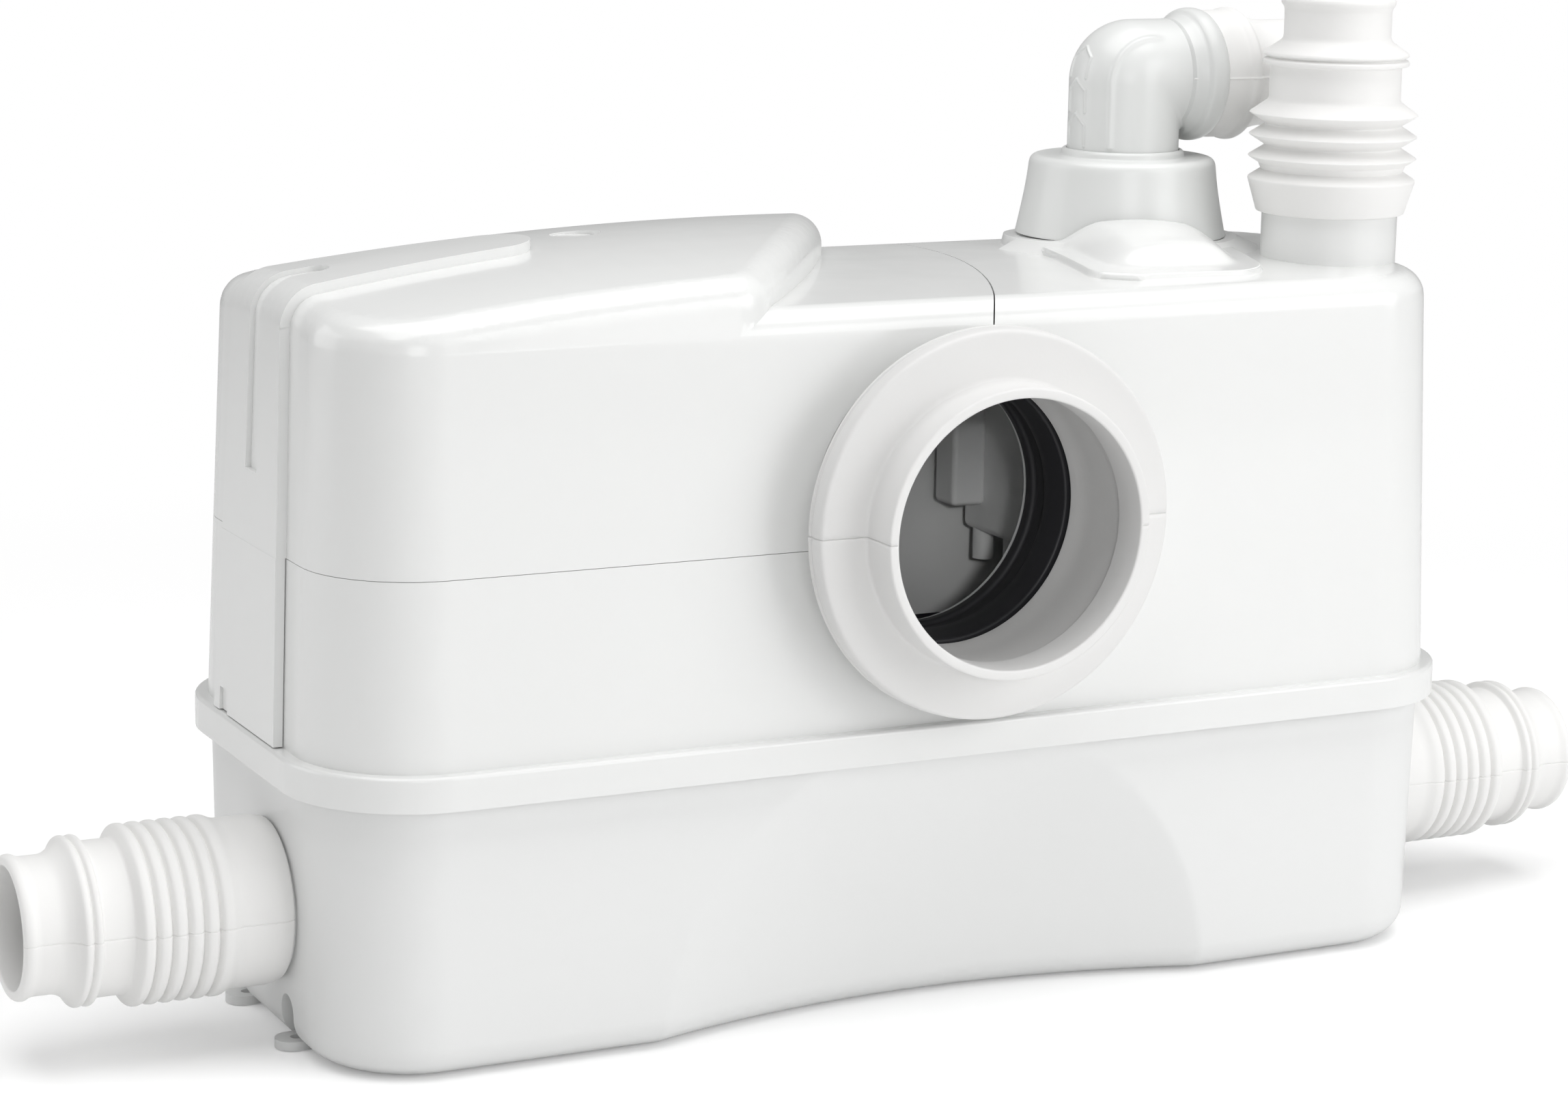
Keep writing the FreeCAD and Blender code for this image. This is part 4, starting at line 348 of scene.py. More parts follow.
def layered(name, colour, pitch, roughness):
    """Thin metal layers stacked along Z, such as steel sheets or turns of wire."""
    material, tree, shader = new_material(name)
    place = new_node(tree, "TexCoord", "Object")
    inputs = {"Vector": place, "Scale": WAVE_PITCH / pitch, "Distortion": 0.6}
    wave = new_node(tree, "TexWave", "Fac", inputs, bands_direction="Z")
    feed(tree, shader, {
        "Base Color": tinted(tree, wave, colour, change=0.22),
        "Roughness": spread(tree, wave, roughness, low=1.0, high=1.4),
        "Normal": relief(tree, wave, strength=0.5, distance=0.3 * pitch), "Metallic": 1.0})
    return material


def dress(material, *nodes):
    """Give CAD nodes a material in place of their own."""
    for name in nodes:
        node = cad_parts[name]
        node.data.materials.clear()
        node.data.materials.append(material)


def new_object(name, data):
    """Object for data, linked to the scene."""
    thing = bpy.data.objects.new(name, data)
    bpy.context.scene.collection.objects.link(thing)
    return thing


def place_piece(name, mesh, material, node, body):
    """Object for a mesh, which replaces a CAD node and rides on its body."""
    mesh.materials.clear()
    mesh.materials.append(material)
    piece = new_object(name, mesh)
    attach(piece, body)
    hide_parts(node)


def mesh_piece(name, surface, material, node, body="station"):
    """Piece from a surface's points and faces."""
    points, faces = surface
    mesh = bpy.data.meshes.new(name)
    mesh.from_pydata(points.tolist(), [], faces.tolist())
    mesh.shade_smooth()
    mesh.update()
    place_piece(name, mesh, material, node, body)


def rounded_profile(corners, steps):
    """Closed profile whose corners are rounded.

    Each corner is (distance, radius, rounding). It is replaced by a quadratic
    curve whose ends lie the rounding back along both sides, no more than
    CORNER_SHARE of a side, and whose control point is the corner itself. Narrow
    crests are given higher by what this takes off them.
    """
    data = np.array(corners, float)
    points, rounding = data[:, :2], data[:, 2:]
    sides = [np.roll(points, shift, axis=0) - points for shift in (1, -1)]
    spans = [np.linalg.norm(side, axis=1)[:, None] for side in sides]
    back = np.minimum(rounding, CORNER_SHARE * np.minimum(*spans))
    start, end = (points + side / span * back for side, span in zip(sides, spans))
    t = np.linspace(0, 1, steps)[None, :, None]
    curve = (1 - t) ** 2 * start[:, None] + 2 * t * (1 - t) * points[:, None] + t ** 2 * end[:, None]
    return curve.reshape(-1, 2)


def ring_angles(count, fine):
    """Angles round an axis, with finer steps on both sides of the parting lines.

    fine is the half width of the finely divided strips in radians.
    """
    even = np.linspace(0, ROUND, count, endpoint=False)
    strip = np.array([-1.0, -0.55, -0.25, 0.0, 0.25, 0.55, 1.0]) * fine
    away = np.abs(even[:, None] - PARTING).min(axis=1) > 1.6 * fine
    return np.sort(np.concatenate([even[away], (PARTING[:, None] + strip).ravel()]))


def turned_surface(profile, origin, axis, angles, line_height=0.0):
    """Closed surface of revolution with an optional fine parting line.

    A point (s, r) of the profile at the angle a lies at
    origin + s * axis + r * (cos a * u + sin a * v), where u, v and axis are square
    to each other. On the profile's outer side the parting line moves it outwards
    along the profile's normal by line_height * exp(-(d / line_half) ** 2), where d
    is the distance r * |a - a_line| from the line.
    """
    line_half, inner_side = 0.0002, -0.2
    axis = np.array(axis, float)
    u = np.array([0.0, 0.0, 1.0]) if abs(axis[2]) < 0.5 else np.array([1.0, 0.0, 0.0])
    v = np.cross(axis, u)
    run = np.roll(profile, -1, axis=0) - np.roll(profile, 1, axis=0)
    across, out = np.array([-run[:, 1], run[:, 0]]) / (np.linalg.norm(run, axis=1) + 1e-12)
    s, r = profile.T
    gap = np.abs(angles[:, None] - PARTING).min(axis=1)[:, None]
    lift = line_height * np.exp(-(gap * r / line_half) ** 2) * (out > inner_side)
    s, r = s + lift * across, r + lift * out
    way = np.cos(angles)[:, None] * u + np.sin(angles)[:, None] * v
    return closed_grid(np.array(origin) + s[:, :, None] * axis + r[:, :, None] * way[:, None, :])


def closed_grid(points):
    """Points and faces of a grid that closes on itself both ways."""
    here = np.arange(points.size // 3).reshape(points.shape[:2])
    after = np.roll(here, -1, axis=1)
    quads = np.stack([here, after, np.roll(after, -1, axis=0), np.roll(here, -1, axis=0)], axis=-1)
    return points.reshape(-1, 3), quads.reshape(-1, 4)


def pan_collar_profile(pan):
    """Outline of the collar: flange, neck and the bore that widens behind its mouth."""
    back, face, tip = pan.flange_back, pan.flange_front, pan.neck_front
    groove, low = back + 0.0014, pan.flange - 0.0006
    ledge, wide = tip - pan.mouth_depth, pan.bore + pan.band
    return rounded_profile([
        (pan.plug_back, pan.plug, 0.0006), (back, pan.plug, 0.0003),
        (back, pan.flange, 0.0005), (groove, pan.flange, 0.0004),
        (groove + 0.0003, low, 0.0002), (groove + 0.001, low, 0.0004),
        (groove + 0.002, pan.flange, 0.0009), (face, low, 0.0016),
        (face, pan.neck, 0.0014), (tip, pan.neck, 0.0009),
        (tip, pan.bore, 0.0009), (ledge, pan.bore, 0.0006),
        (ledge - pan.band / 2, wide, 0.0008), (pan.plug_back + 0.008, wide, 0.006),
        (pan.plug_back, pan.bore + 0.0012, 0.0006)], 5)


def pan_seal_profile(pan):
    """Outline of the seal ring, whose two lips step inwards to the back."""
    lip = 0.002
    front, back = pan.seal_front, pan.seal_back
    middle, half = (back + front) / 2, (pan.bore + pan.seal_lip) / 2
    outer, inner = half + lip / 2, half - lip / 3
    return rounded_profile([
        (front, outer, 0.001), (front, pan.plug, 0.0005), (back, pan.plug, 0.0005),
        (back, pan.seal_lip, 0.001), (back + 2 * lip, pan.seal_lip, 0.0012),
        (back + 2.6 * lip, outer, 0.0008), (middle, outer, 0.0008),
        (middle + 0.3 * lip, inner, 0.001), (middle + 1.8 * lip, inner, 0.0012)], 6)


def side_sleeve_profile(sleeve):
    """Outline of a side sleeve: cuff, round ribs, plain part, two beads and neck."""
    half, crest = sleeve.rib_pitch / 2, sleeve.rib + 0.0004
    corners = [(0, sleeve.spigot, 0.0004), (0, sleeve.cuff - 0.0012, 0.001),
               (0.004, sleeve.cuff, 0.003), (sleeve.first_rib - 1.8 * half, sleeve.cuff, 0.003)]
    for k in range(sleeve.ribs):
        s = sleeve.first_rib + k * sleeve.rib_pitch
        corners += [(s - 0.55 * half, crest, 0.0012), (s + 0.55 * half, crest, 0.0012),
                    (s + half, sleeve.valley, 0.0003)]
    corners[-1] = (s + 1.3 * half, sleeve.plain, 0.0008)
    pitch, bead = sleeve.bead_pitch, sleeve.bead + 0.0002
    for k in range(2):
        s = sleeve.plain_end + k * pitch
        corners += [(s, sleeve.plain + k * 0.0008, 0.0004), (s + 0.25 * pitch, bead, 0.0009),
                    (s + 0.75 * pitch, bead, 0.0009)]
    neck, start, mouth, wall = sleeve.neck, sleeve.neck_start, sleeve.reach, sleeve.wall
    stop, inside = sleeve.spigot_reach + 0.0008, sleeve.plain - wall
    return rounded_profile(corners + [
        (start - 0.0005, neck + 0.0022, 0.0016), (start + 0.003, neck, 0.003),
        (mouth - 0.005, neck, 0.0014), (mouth - 0.0026, sleeve.end_bead + 0.0002, 0.0012),
        (mouth, sleeve.end_bead - 0.0006, 0.0013), (mouth, neck - wall, 0.0008),
        (start - wall, neck - wall, 0.001), (start - 2 * wall, inside, 0.001),
        (stop, inside, 0.0003), (stop, sleeve.spigot, 0.0002)], 6)


def bellows_profile(top):
    """Outline of the bellows sleeve: conical band, sharp tips, plain part, lips and neck."""
    half, wall = top.pitch / 2, top.wall
    z = top.low + top.band_height
    corners = [(top.low, top.spigot, 0.0002), (top.low, top.band_low, 0.0006),
               (z, top.band_high, 0.0007), (z + half, top.valley, 0.0008)]
    for k in range(top.ribs):
        z += top.pitch
        corners += [(z, top.rib, 0.0006), (z + half, top.valley, 0.0008)]
    plain = z + half + 0.001
    lip = plain + 0.0125
    end = lip + 0.0244
    bore, inside = top.neck - wall, top.plain - wall
    corners[-1] = (plain, top.plain, 0.001)
    corners += [
        (lip, top.plain, 0.0004), (lip + 0.0002, top.lip, 0.0006),
        (lip + 0.0019, top.lip, 0.0006), (lip + 0.0027, top.plain + 0.0006, 0.0005),
        (lip + 0.0035, top.lip - 0.0001, 0.0005), (lip + 0.0046, top.lip - 0.0004, 0.0006),
        (lip + 0.0092, top.neck, 0.0014), (lip + 0.0203, top.neck, 0.0014),
        (end - 0.0022, top.end_bead + 0.0002, 0.001), (end, top.end_bead - 0.0006, 0.001),
        (end, bore, 0.0008), (lip + 0.007, bore, 0.001), (lip + 0.0028, inside, 0.001),
        (plain, inside, 0.0008)]
    for k in range(top.ribs):
        corners += [(z, top.rib - 1.3 * wall, 0.0008), (z - half, top.valley - 0.5 * wall, 0.0008)]
        z -= top.pitch
    corners[-1] = (top.spigot_top + 0.0006, top.spigot, 0.0002)
    return rounded_profile(corners, 5)


def boot_profile(outlet):
    """Outline of the bell shaped boot with its flared lip and its collar."""
    foot, top, shoulder, collar = outlet.lip_z, outlet.boot_top, outlet.shoulder, outlet.boot_collar
    high, ceiling = top + outlet.collar_height, top - outlet.boot_wall
    inner, bore = shoulder - outlet.boot_wall, outlet.pipe + 0.0003
    return rounded_profile([
        (foot, inner, 0.0004), (foot, outlet.lip, 0.0004), (foot + 0.0018, outlet.lip - 0.0004, 0.0008),
        (foot + 0.0095, shoulder + 0.0026, 0.006), (top - 0.01, shoulder + 0.0009, 0.007),
        (top, shoulder - 0.0002, 0.0034), (top, collar, 0.0005),
        (high - 0.0008, collar - 0.0003, 0.0006), (high, outlet.pipe + 0.0012, 0.0007),
        (high, bore, 0.0003), (ceiling, bore, 0.0003), (ceiling, inner, 0.002)], 8)


def outlet_sleeve_profile(outlet):
    """Outline of the outlet sleeve: plug, collar, bead, neck and end bead."""
    start, face = outlet.mouth_s - outlet.socket_depth + 0.0003, outlet.mouth_s + 0.0001
    bead, end, collar, neck = outlet.hose_bead_s, outlet.hose_end_s, outlet.hose_collar, outlet.hose_neck
    plug, bore = outlet.socket - 0.00005, neck - outlet.hose_wall
    return rounded_profile([
        (start, bore, 0.0006), (start, plug, 0.0006), (face, plug, 0.0002),
        (face, collar - 0.0004, 0.0006), (face + 0.004, collar, 0.002), (bead - 0.0028, collar, 0.001),
        (bead - 0.001, outlet.hose_bead, 0.001), (bead + 0.0012, outlet.hose_bead, 0.001),
        (bead + 0.0026, collar - 0.0012, 0.0014), (bead + 0.011, neck, 0.004),
        (end - 0.005, neck, 0.0014), (end - 0.0025, outlet.hose_end_bead, 0.0012),
        (end, outlet.hose_end_bead - 0.0006, 0.0012), (end, bore, 0.0008)], 7)


def smooth_step(x):
    """Rises from 0 to 1 as x goes from 0 to 1, level at both ends."""
    t = np.clip(x, 0, 1)
    return t * t * (3 - 2 * t)


def segment_distance(x, y, a, b):
    """Distance of each point (x, y) from the straight line between a and b."""
    a, b = np.array(a), np.array(b)
    way = b - a
    share = np.clip(((x - a[0]) * way[0] + (y - a[1]) * way[1]) / (way @ way), 0, 1)
    return np.hypot(x - a[0] - share * way[0], y - a[1] - share * way[1])


def elbow_lines(outlet, across, along, side):
    """Height of the raised lines on the elbow's outside.

    One line runs up the front left of the leg and over the bend. Three outlined
    arrows stand above each other on the left side. across is the arc length round
    the pipe from the left side, positive to the front, side the arc length from
    the front line, and along the length of the outer wall above the boot.
    """
    half, slope, gap = 0.0053, 0.0042, 0.0005
    stroke, height, start = 0.00042, 0.8, 0.0008
    near = np.full(np.broadcast(across, along).shape, 1.0)
    for k in range(3):
        low = k * outlet.arrow
        tip = low + outlet.arrow
        for sign in (-1, 1):
            shoulder = (sign * half, tip - slope)
            near = np.minimum(near, segment_distance(across, along, (0, tip), shoulder))
            near = np.minimum(near, segment_distance(across, along, shoulder, (sign * half, low + gap)))
    arrows = height * np.exp(-(near / stroke) ** 4)
    line = np.exp(-(side / LINE_HALF) ** 2)
    return outlet.ridge * np.maximum(line, arrows) * smooth_step(along / start)


def elbow_radius(outlet, s):
    """Outer radius of the arm at the distance s from the upright axis.

    A hollow flare rises over 0.6 of the socket's depth by 0.6 of the way to the
    mouth's ring, and the ring's round section is a half ellipse on top of it.
    """
    share, hollow = 0.6, 1.4
    ring_middle, ring_half = outlet.mouth_s - 0.0036, 0.0038
    start = outlet.mouth_s - outlet.socket_depth
    climb = smooth_step((s - start) / (share * outlet.socket_depth)) ** hollow
    flare = outlet.pipe + share * (outlet.mouth - outlet.pipe) * climb
    ring = np.clip(1 - ((s - ring_middle) / ring_half) ** 2, 0, 1) ** 0.5
    return flare + (outlet.mouth - flare) * ring


def elbow_surface(outlet):
    """Closed skin of the elbow, out along its outside and back along its bore.

    Round the pipe the angle a runs from the left (-X) side over the front. Each
    line along the pipe goes straight up to axis_z - b, turns round (x + b, axis_z - b)
    with the radius b + r * cos a and goes straight out to the mouth, where b is the
    larger of bend and crease - r * cos a. The raised lines are added to r.
    """
    first, last = -0.12, 0.20  # shares of the turn between which the raised lines lie
    fade_out, rim, pipe = 0.006, 0.0006, outlet.pipe
    fine = np.linspace(first, last, 130, endpoint=False) * ROUND
    coarse = np.linspace(last, first + 1, 88, endpoint=False) * ROUND
    angles = np.concatenate([fine, coarse])[:, None]
    cos_a, sin_a = np.cos(angles), np.sin(angles)
    ones = np.ones_like(angles)
    across = pipe * ((angles + ROUND / 2) % ROUND - ROUND / 2)
    side = across - pipe * ROUND / 8
    line_start = outlet.boot_top + outlet.collar_height + 0.0008

    def corner(r):
        return np.maximum(outlet.bend, outlet.crease - r * cos_a)

    def swept(r, b, turn):
        x, z = b - (b + r * cos_a) * np.cos(turn), (b + r * cos_a) * np.sin(turn) - b
        return outlet.x + x, outlet.y - r * sin_a + 0 * turn, outlet.axis_z + z

    def leg_ring(z, r):
        return outlet.x - r * cos_a, outlet.y - r * sin_a, z * ones

    def arm_ring(s, r):
        return (outlet.x + s) * ones, outlet.y - r * sin_a, outlet.axis_z + r * cos_a

    b = corner(pipe)
    top = outlet.axis_z - b
    z = outlet.flange_top + (top - outlet.flange_top) * np.linspace(0, 1, 90)
    leg = leg_ring(z, pipe + elbow_lines(outlet, across, z - line_start, side))

    turn = np.linspace(0, ROUND / 4, 131)[None, 1:]
    along = top - line_start + (b + pipe * cos_a) * turn
    bent = swept(pipe + elbow_lines(outlet, across, along, side), b, turn)

    s = b + (outlet.mouth_s - b) * np.linspace(0, 1, 56)[1:]
    raised = outlet.ridge * np.exp(-(side / LINE_HALF) ** 2) * (1 - smooth_step((s - b) / fade_out))
    arm = arm_ring(s, elbow_radius(outlet, s) + raised)

    depth = outlet.mouth_s - outlet.socket_depth
    bore = pipe - outlet.pipe_wall
    wide = pipe + 2 * outlet.pipe_wall
    flange_low = outlet.flange_top - outlet.pipe_wall
    parts = [
        leg, bent, arm,
        arm_ring(outlet.mouth_s, outlet.socket + rim), arm_ring(outlet.mouth_s - rim, outlet.socket),
        arm_ring(depth, outlet.socket), arm_ring(depth, bore),
        swept(bore * ones, corner(bore), np.linspace(ROUND / 4, 0, 24)),
        leg_ring(outlet.foot_z, bore), leg_ring(outlet.foot_z, pipe),
        leg_ring(flange_low, pipe), leg_ring(flange_low, wide), leg_ring(outlet.flange_top, wide),
    ]
    lines = [np.concatenate([part[k] for part in parts], axis=1) for k in range(3)]
    return closed_grid(np.stack(lines, axis=-1))


def plateau_sides(ramp, x, y):
    """Distance of each point from the plateau's four sides, positive outside.

    x and y are taken from the boot's axis.
    """
    corners = np.array([
        (-ramp.front_left, -ramp.front), (ramp.front_right, -ramp.front - ramp.skew),
        (ramp.back_right, ramp.back), (-ramp.back_left, ramp.back)])
    way = np.roll(corners, -1, axis=0) - corners
    way = way / np.linalg.norm(way, axis=1, keepdims=True)
    return (x[..., None] - corners[:, 0]) * way[:, 1] - (y[..., None] - corners[:, 1]) * way[:, 0]


def rounded_distance(sides, corner):
    """Signed distance from the outline with rounded corners.

    q is a side's distance plus the corner radius. Where any q is above 0, the
    result is the root of the sum of max(q, 0) ** 2, elsewhere the largest q, less
    the corner radius.
    """
    q = sides + corner
    inside = q.max(axis=-1)
    outside = np.sqrt((np.maximum(q, 0) ** 2).sum(axis=-1))
    return np.where(inside > 0, outside, inside) - corner


def crown_height(ramp, y):
    """Height of the cover's crowned top: crown - y ** 2 / (2 * crown_radius)."""
    return ramp.crown - y ** 2 / (2 * ramp.crown_radius)


def ramp_height(ramp, outlet, x, y):
    """Height of plateau, seat and ramp above the cover's crown.

    The ramp is rise * (1 - (u / half_width) ** 2 - |v / half_length| ** 3), with u
    and v turned with its crest. Each side of the plateau brings it down by
    t * (2 - t), where t is the share of the margin inside that side. It meets the
    plateau's rounded step and the seat's cone in a soft maximum
    (a + b + sqrt((a - b) ** 2 + blend ** 2)) / 2.
    """
    dx, dy = x - outlet.x, y - outlet.y
    sides = plateau_sides(ramp, dx, dy)
    gap = rounded_distance(sides, ramp.corner)
    share = np.clip(-sides / ramp.margin, 0, 1)
    step = ramp.step * smooth_step((ramp.step_width - gap) / ramp.step_width)
    far = np.hypot(dx, dy) - ramp.seat
    slope = ramp.seat_slope + ramp.back_slope * smooth_step(dy / ramp.back)
    cone = np.maximum(ramp.seat_rise - slope * np.maximum(far, 0), 0)
    c, s = math.cos(ramp.turn), math.sin(ramp.turn)
    u = (x - ramp.crest_x) * c - y * s
    v = (x - ramp.crest_x) * s + y * c
    bump = ramp.rise * (1 - (u / ramp.half_width) ** 2 - np.abs(v / ramp.half_length) ** 3)
    floor = -3 * ramp.blend
    bump = floor + (np.maximum(bump, floor) - floor) * (share * (2 - share)).prod(axis=-1)
    low = np.maximum(step, cone)
    return (low + bump + np.sqrt((low - bump) ** 2 + ramp.blend ** 2)) / 2


def ramp_surface(ramp, outlet):
    """Closed skin of plateau and ramp: rings of rays round the boot's axis.

    Each ray runs from the inner edge past the place where the height has fallen
    to RAMP_END, dips under the cover's top there and goes back underneath. Its
    last part is divided more finely.
    """
    angles = np.linspace(0, ROUND, 540, endpoint=False)[:, None]

    def places(r):
        return outlet.x + r * np.cos(angles), outlet.y + r * np.sin(angles)

    probe = np.linspace(ramp.inner, RAMP_REACH, 700)
    high = ramp_height(ramp, outlet, *places(probe)) > RAMP_END
    last = len(probe) - 1 - np.argmax(high[:, ::-1], axis=1)
    end = probe[last][:, None] + EDGE
    fine = 0.86
    t = np.concatenate([fine * np.linspace(0, 1, 60, endpoint=False), np.linspace(fine, 1, 36)])
    r = ramp.inner + (end - ramp.inner) * t
    x, y = places(r)
    crown = crown_height(ramp, y)
    z = crown + ramp_height(ramp, outlet, x, y) - COVERED * smooth_step((r - end + EDGE) / EDGE)
    low = np.stack([x, y, crown - 2 * COVERED], axis=-1)[:, [-1, 0]]
    return closed_grid(np.concatenate([np.stack([x, y, z], axis=-1), low], axis=1))


def fetched(items, attribute, width=1, kind=float):
    """Attribute of all items of a mesh as one array, in rows where it is a vector."""
    values = np.zeros(len(items) * width, kind)
    items.foreach_get(attribute, values)
    return values.reshape(-1, width) if width > 1 else values


def shade_by_area(mesh):
    """Shade flat walls flat and the rounds between them smooth.

    Each corner's normal is the sum of area * normal over the faces at its vertex
    that lie within the angle SHARP of the corner's own face.
    """
    vertex = fetched(mesh.loops, "vertex_index", kind=np.int32)
    totals = fetched(mesh.polygons, "loop_total", kind=np.int32)
    face = np.repeat(np.arange(len(totals)), totals)
    order = np.argsort(vertex, kind="stable")
    own = fetched(mesh.polygons, "normal", 3)[face][order]
    weight = fetched(mesh.polygons, "area")[face][order]
    counts = np.bincount(vertex)
    starts = np.cumsum(counts) - counts
    first, count = starts[vertex[order]], counts[vertex[order]]
    place = np.arange(len(vertex)) - first
    total = np.zeros_like(own)
    for step in range(counts.max()):
        here = np.nonzero(count > step)[0]
        other = first[here] + (place[here] + step) % count[here]
        near = (own[here] * own[other]).sum(axis=1) > math.cos(SHARP)
        total[here[near]] += own[other[near]] * weight[other[near]][:, None]
    total /= np.linalg.norm(total, axis=1, keepdims=True) + 1e-30
    result = np.empty_like(total)
    result[order] = total
    mesh.normals_split_custom_set(result.tolist())


def merged_copy(name, node, material, body="station"):
    """Copy of a CAD node with its triangles joined and its soft edges shaded smooth."""
    shell = bmesh.new()
    shell.from_mesh(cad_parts[node].data)
    bmesh.ops.remove_doubles(shell, verts=shell.verts, dist=MERGE)
    bmesh.ops.dissolve_degenerate(shell, edges=shell.edges, dist=MERGE)
    mesh = bpy.data.meshes.new(name)
    shell.to_mesh(mesh)
    shell.free()
    shade_by_area(mesh)
    place_piece(name, mesh, material, node, body)
    return mesh


def set_heights(mesh, places, chosen, heights):
    """Move the chosen vertices of a mesh to new heights."""
    places[chosen, 2] = heights
    mesh.vertices.foreach_set("co", places.ravel())
    mesh.update()


def open_seam(mesh, level, width):
    """Raise the rim that lies at the height level by width, so that a fine seam shows."""
    places = fetched(mesh.vertices, "co", 3)
    rim = np.abs(places[:, 2] - level) < 2 * MERGE
    if not rim.any():
        raise ValueError("no rim at the height %.4f" % level)
    set_heights(mesh, places, rim, places[rim, 2] + width)


def press_under(mesh, ramp, outlet):
    """Lower the solid's steeper ramp to just under the smooth one where it stands above it."""
    places = fetched(mesh.vertices, "co", 3)
    x, y, z = places.T
    crown = crown_height(ramp, y)
    surface = crown + ramp_height(ramp, outlet, x, y) - COVERED
    away = np.hypot(x - outlet.x, y - outlet.y)
    slack = 0.0003
    over = (z > surface) & (z > crown + ramp.step) & (x < ramp.limit)
    over &= (away > ramp.inner - slack) & (away < RAMP_REACH)
    set_heights(mesh, places, over, surface[over])


class PUMP_OT_stage(bpy.types.Operator):
    """Floor, light and camera"""

    bl_idname = "pump.stage"
    bl_label = "Stage"

    def execute(self, context):
        stage = context.scene.pump_stage
        make_floor(stage)
        make_world(context, stage)
        make_lights(context, stage)
        make_camera(context, stage)
        context.scene.view_settings.view_transform = "Standard"
        return {"FINISHED"}


def make_floor(stage):
    """White paper floor that keeps the object's shadow and fades to pure white."""
    half, low = 4.0, -0.0004
    mesh = bpy.data.meshes.new("floor")
    mesh.from_pydata([(-half, -half, low), (half, -half, low), (half, half, low), (-half, half, low)],
                     [], [(0, 1, 2, 3)])
    floor = new_object("floor", mesh)
    material, tree, shader = new_material("floor_paper")
    white = (stage.floor_white,) * 3 + (1,)
    feed(tree, shader, {"Base Color": white, "Roughness": 0.9, "Specular IOR Level": 0.0})
    paper = shader.outputs["BSDF"]
    place = new_node(tree, "TexCoord", "Object")
    away = new_node(tree, "VectorMath", "Value", {0: place}, operation="LENGTH")
    limits = {"From Min": 0.38, "From Max": 0.95}
    fade = new_node(tree, "MapRange", "Result", {"Value": away, **limits}, interpolation_type="SMOOTHSTEP")
    lift = new_node(tree, "Emission", "Emission", {"Strength": stage.floor_lift})
    lifted = new_node(tree, "AddShader", "Shader", {0: paper, 1: lift})
    pure = new_node(tree, "Emission", "Emission")
    seen = new_node(tree, "MixShader", "Shader", {"Fac": fade, 1: lifted, 2: pure})
    camera_ray = new_node(tree, "LightPath", "Is Camera Ray")
    pick = new_node(tree, "MixShader", "Shader", {"Fac": camera_ray, 1: paper, 2: seen})
    feed(tree, tree.nodes["Material Output"], {"Surface": pick})
    floor.data.materials.append(material)


def make_world(context, stage):
    """Even surround that is white where it is seen and paler where it is mirrored."""
    world = bpy.data.worlds.new("surround")
    context.scene.world = world
    world.use_nodes = True
    tree = world.node_tree
    mirrored, seen = (new_node(tree, "LightPath", "Is %s Ray" % kind) for kind in ("Glossy", "Camera"))
    limits = {"To Min": stage.world_level, "To Max": stage.mirror_level}
    unseen = new_node(tree, "MapRange", "Result", {"Value": mirrored, **limits})
    level = new_node(tree, "MapRange", "Result", {"Value": seen, "To Min": unseen, "To Max": 1.0})
    feed(tree, tree.nodes["Background"], {"Strength": level, "Color": (1, 1, 1, 1)})


def turned_to(right, up, back, place):
    """Matrix of an object at place whose X, Y and Z axes point right, up and back."""
    return Matrix(np.vstack([np.column_stack([right, up, back, place]), (0, 0, 0, 1)]).tolist())


def add_lamp(name, kind, place, target, **settings):
    """Lamp at place that faces target."""
    lamp = new_object(name, bpy.data.lights.new(name, kind))
    for setting, value in settings.items():
        setattr(lamp.data, setting, value)
    place, target = np.array(place), np.array(target)
    way = (target - place) / np.linalg.norm(target - place)
    side = np.cross(way, (0, 0, 1.0))
    side = side / np.linalg.norm(side)
    lamp.matrix_world = turned_to(side, np.cross(side, way), -way, place)


def make_lights(context, stage):
    """Softboxes round the object and a narrow spot that looks into the pan inlet."""
    aim = (0.0, 0.0, 0.14)
    boxes = (("left", (-1.6, 0.95, 0.70), 1.2, 1.3, stage.key_power),
             ("right", (1.15, -1.55, 0.75), 1.5, 1.3, stage.fill_power),
             ("front", (-0.55, -1.75, 0.55), 0.6, 0.6, stage.front_power),
             ("top", (0.0, -0.2, 1.8), 2.2, 1.6, stage.top_power))
    for name, place, width, height, watts in boxes:
        add_lamp(name, "AREA", place, aim, shape="RECTANGLE", size=width, size_y=height, energy=watts)
    pan = context.scene.pump_pan
    mouth = (pan.x, -pan.neck_front, pan.z)
    add_lamp("inlet", "SPOT", (-0.52, -1.24, 0.47), mouth, energy=stage.inlet_power,
             spot_size=math.radians(3.8), spot_blend=0.35, shadow_soft_size=0.03)


def make_camera(context, stage):
    """Camera of the photograph.

    The view direction turns by yaw about Z and then drops by pitch; the picture's
    right and down directions turn about it by roll.
    """
    yaw, pitch, roll = stage.camera_yaw, stage.camera_pitch, stage.camera_roll
    ahead = np.array([math.sin(yaw) * math.cos(pitch), math.cos(yaw) * math.cos(pitch), -math.sin(pitch)])
    right = np.array([math.cos(yaw), -math.sin(yaw), 0.0])
    down = np.cross(ahead, right)
    c, s = math.cos(roll), math.sin(roll)
    data = bpy.data.cameras.new("camera")
    data.lens = stage.camera_lens
    data.sensor_width = 36.0
    data.clip_start, data.clip_end = 0.05, 100.0
    camera = new_object("camera", data)
    camera.matrix_world = turned_to(c * right + s * down, s * right - c * down, -ahead, stage.camera_place)
    context.scene.camera = camera


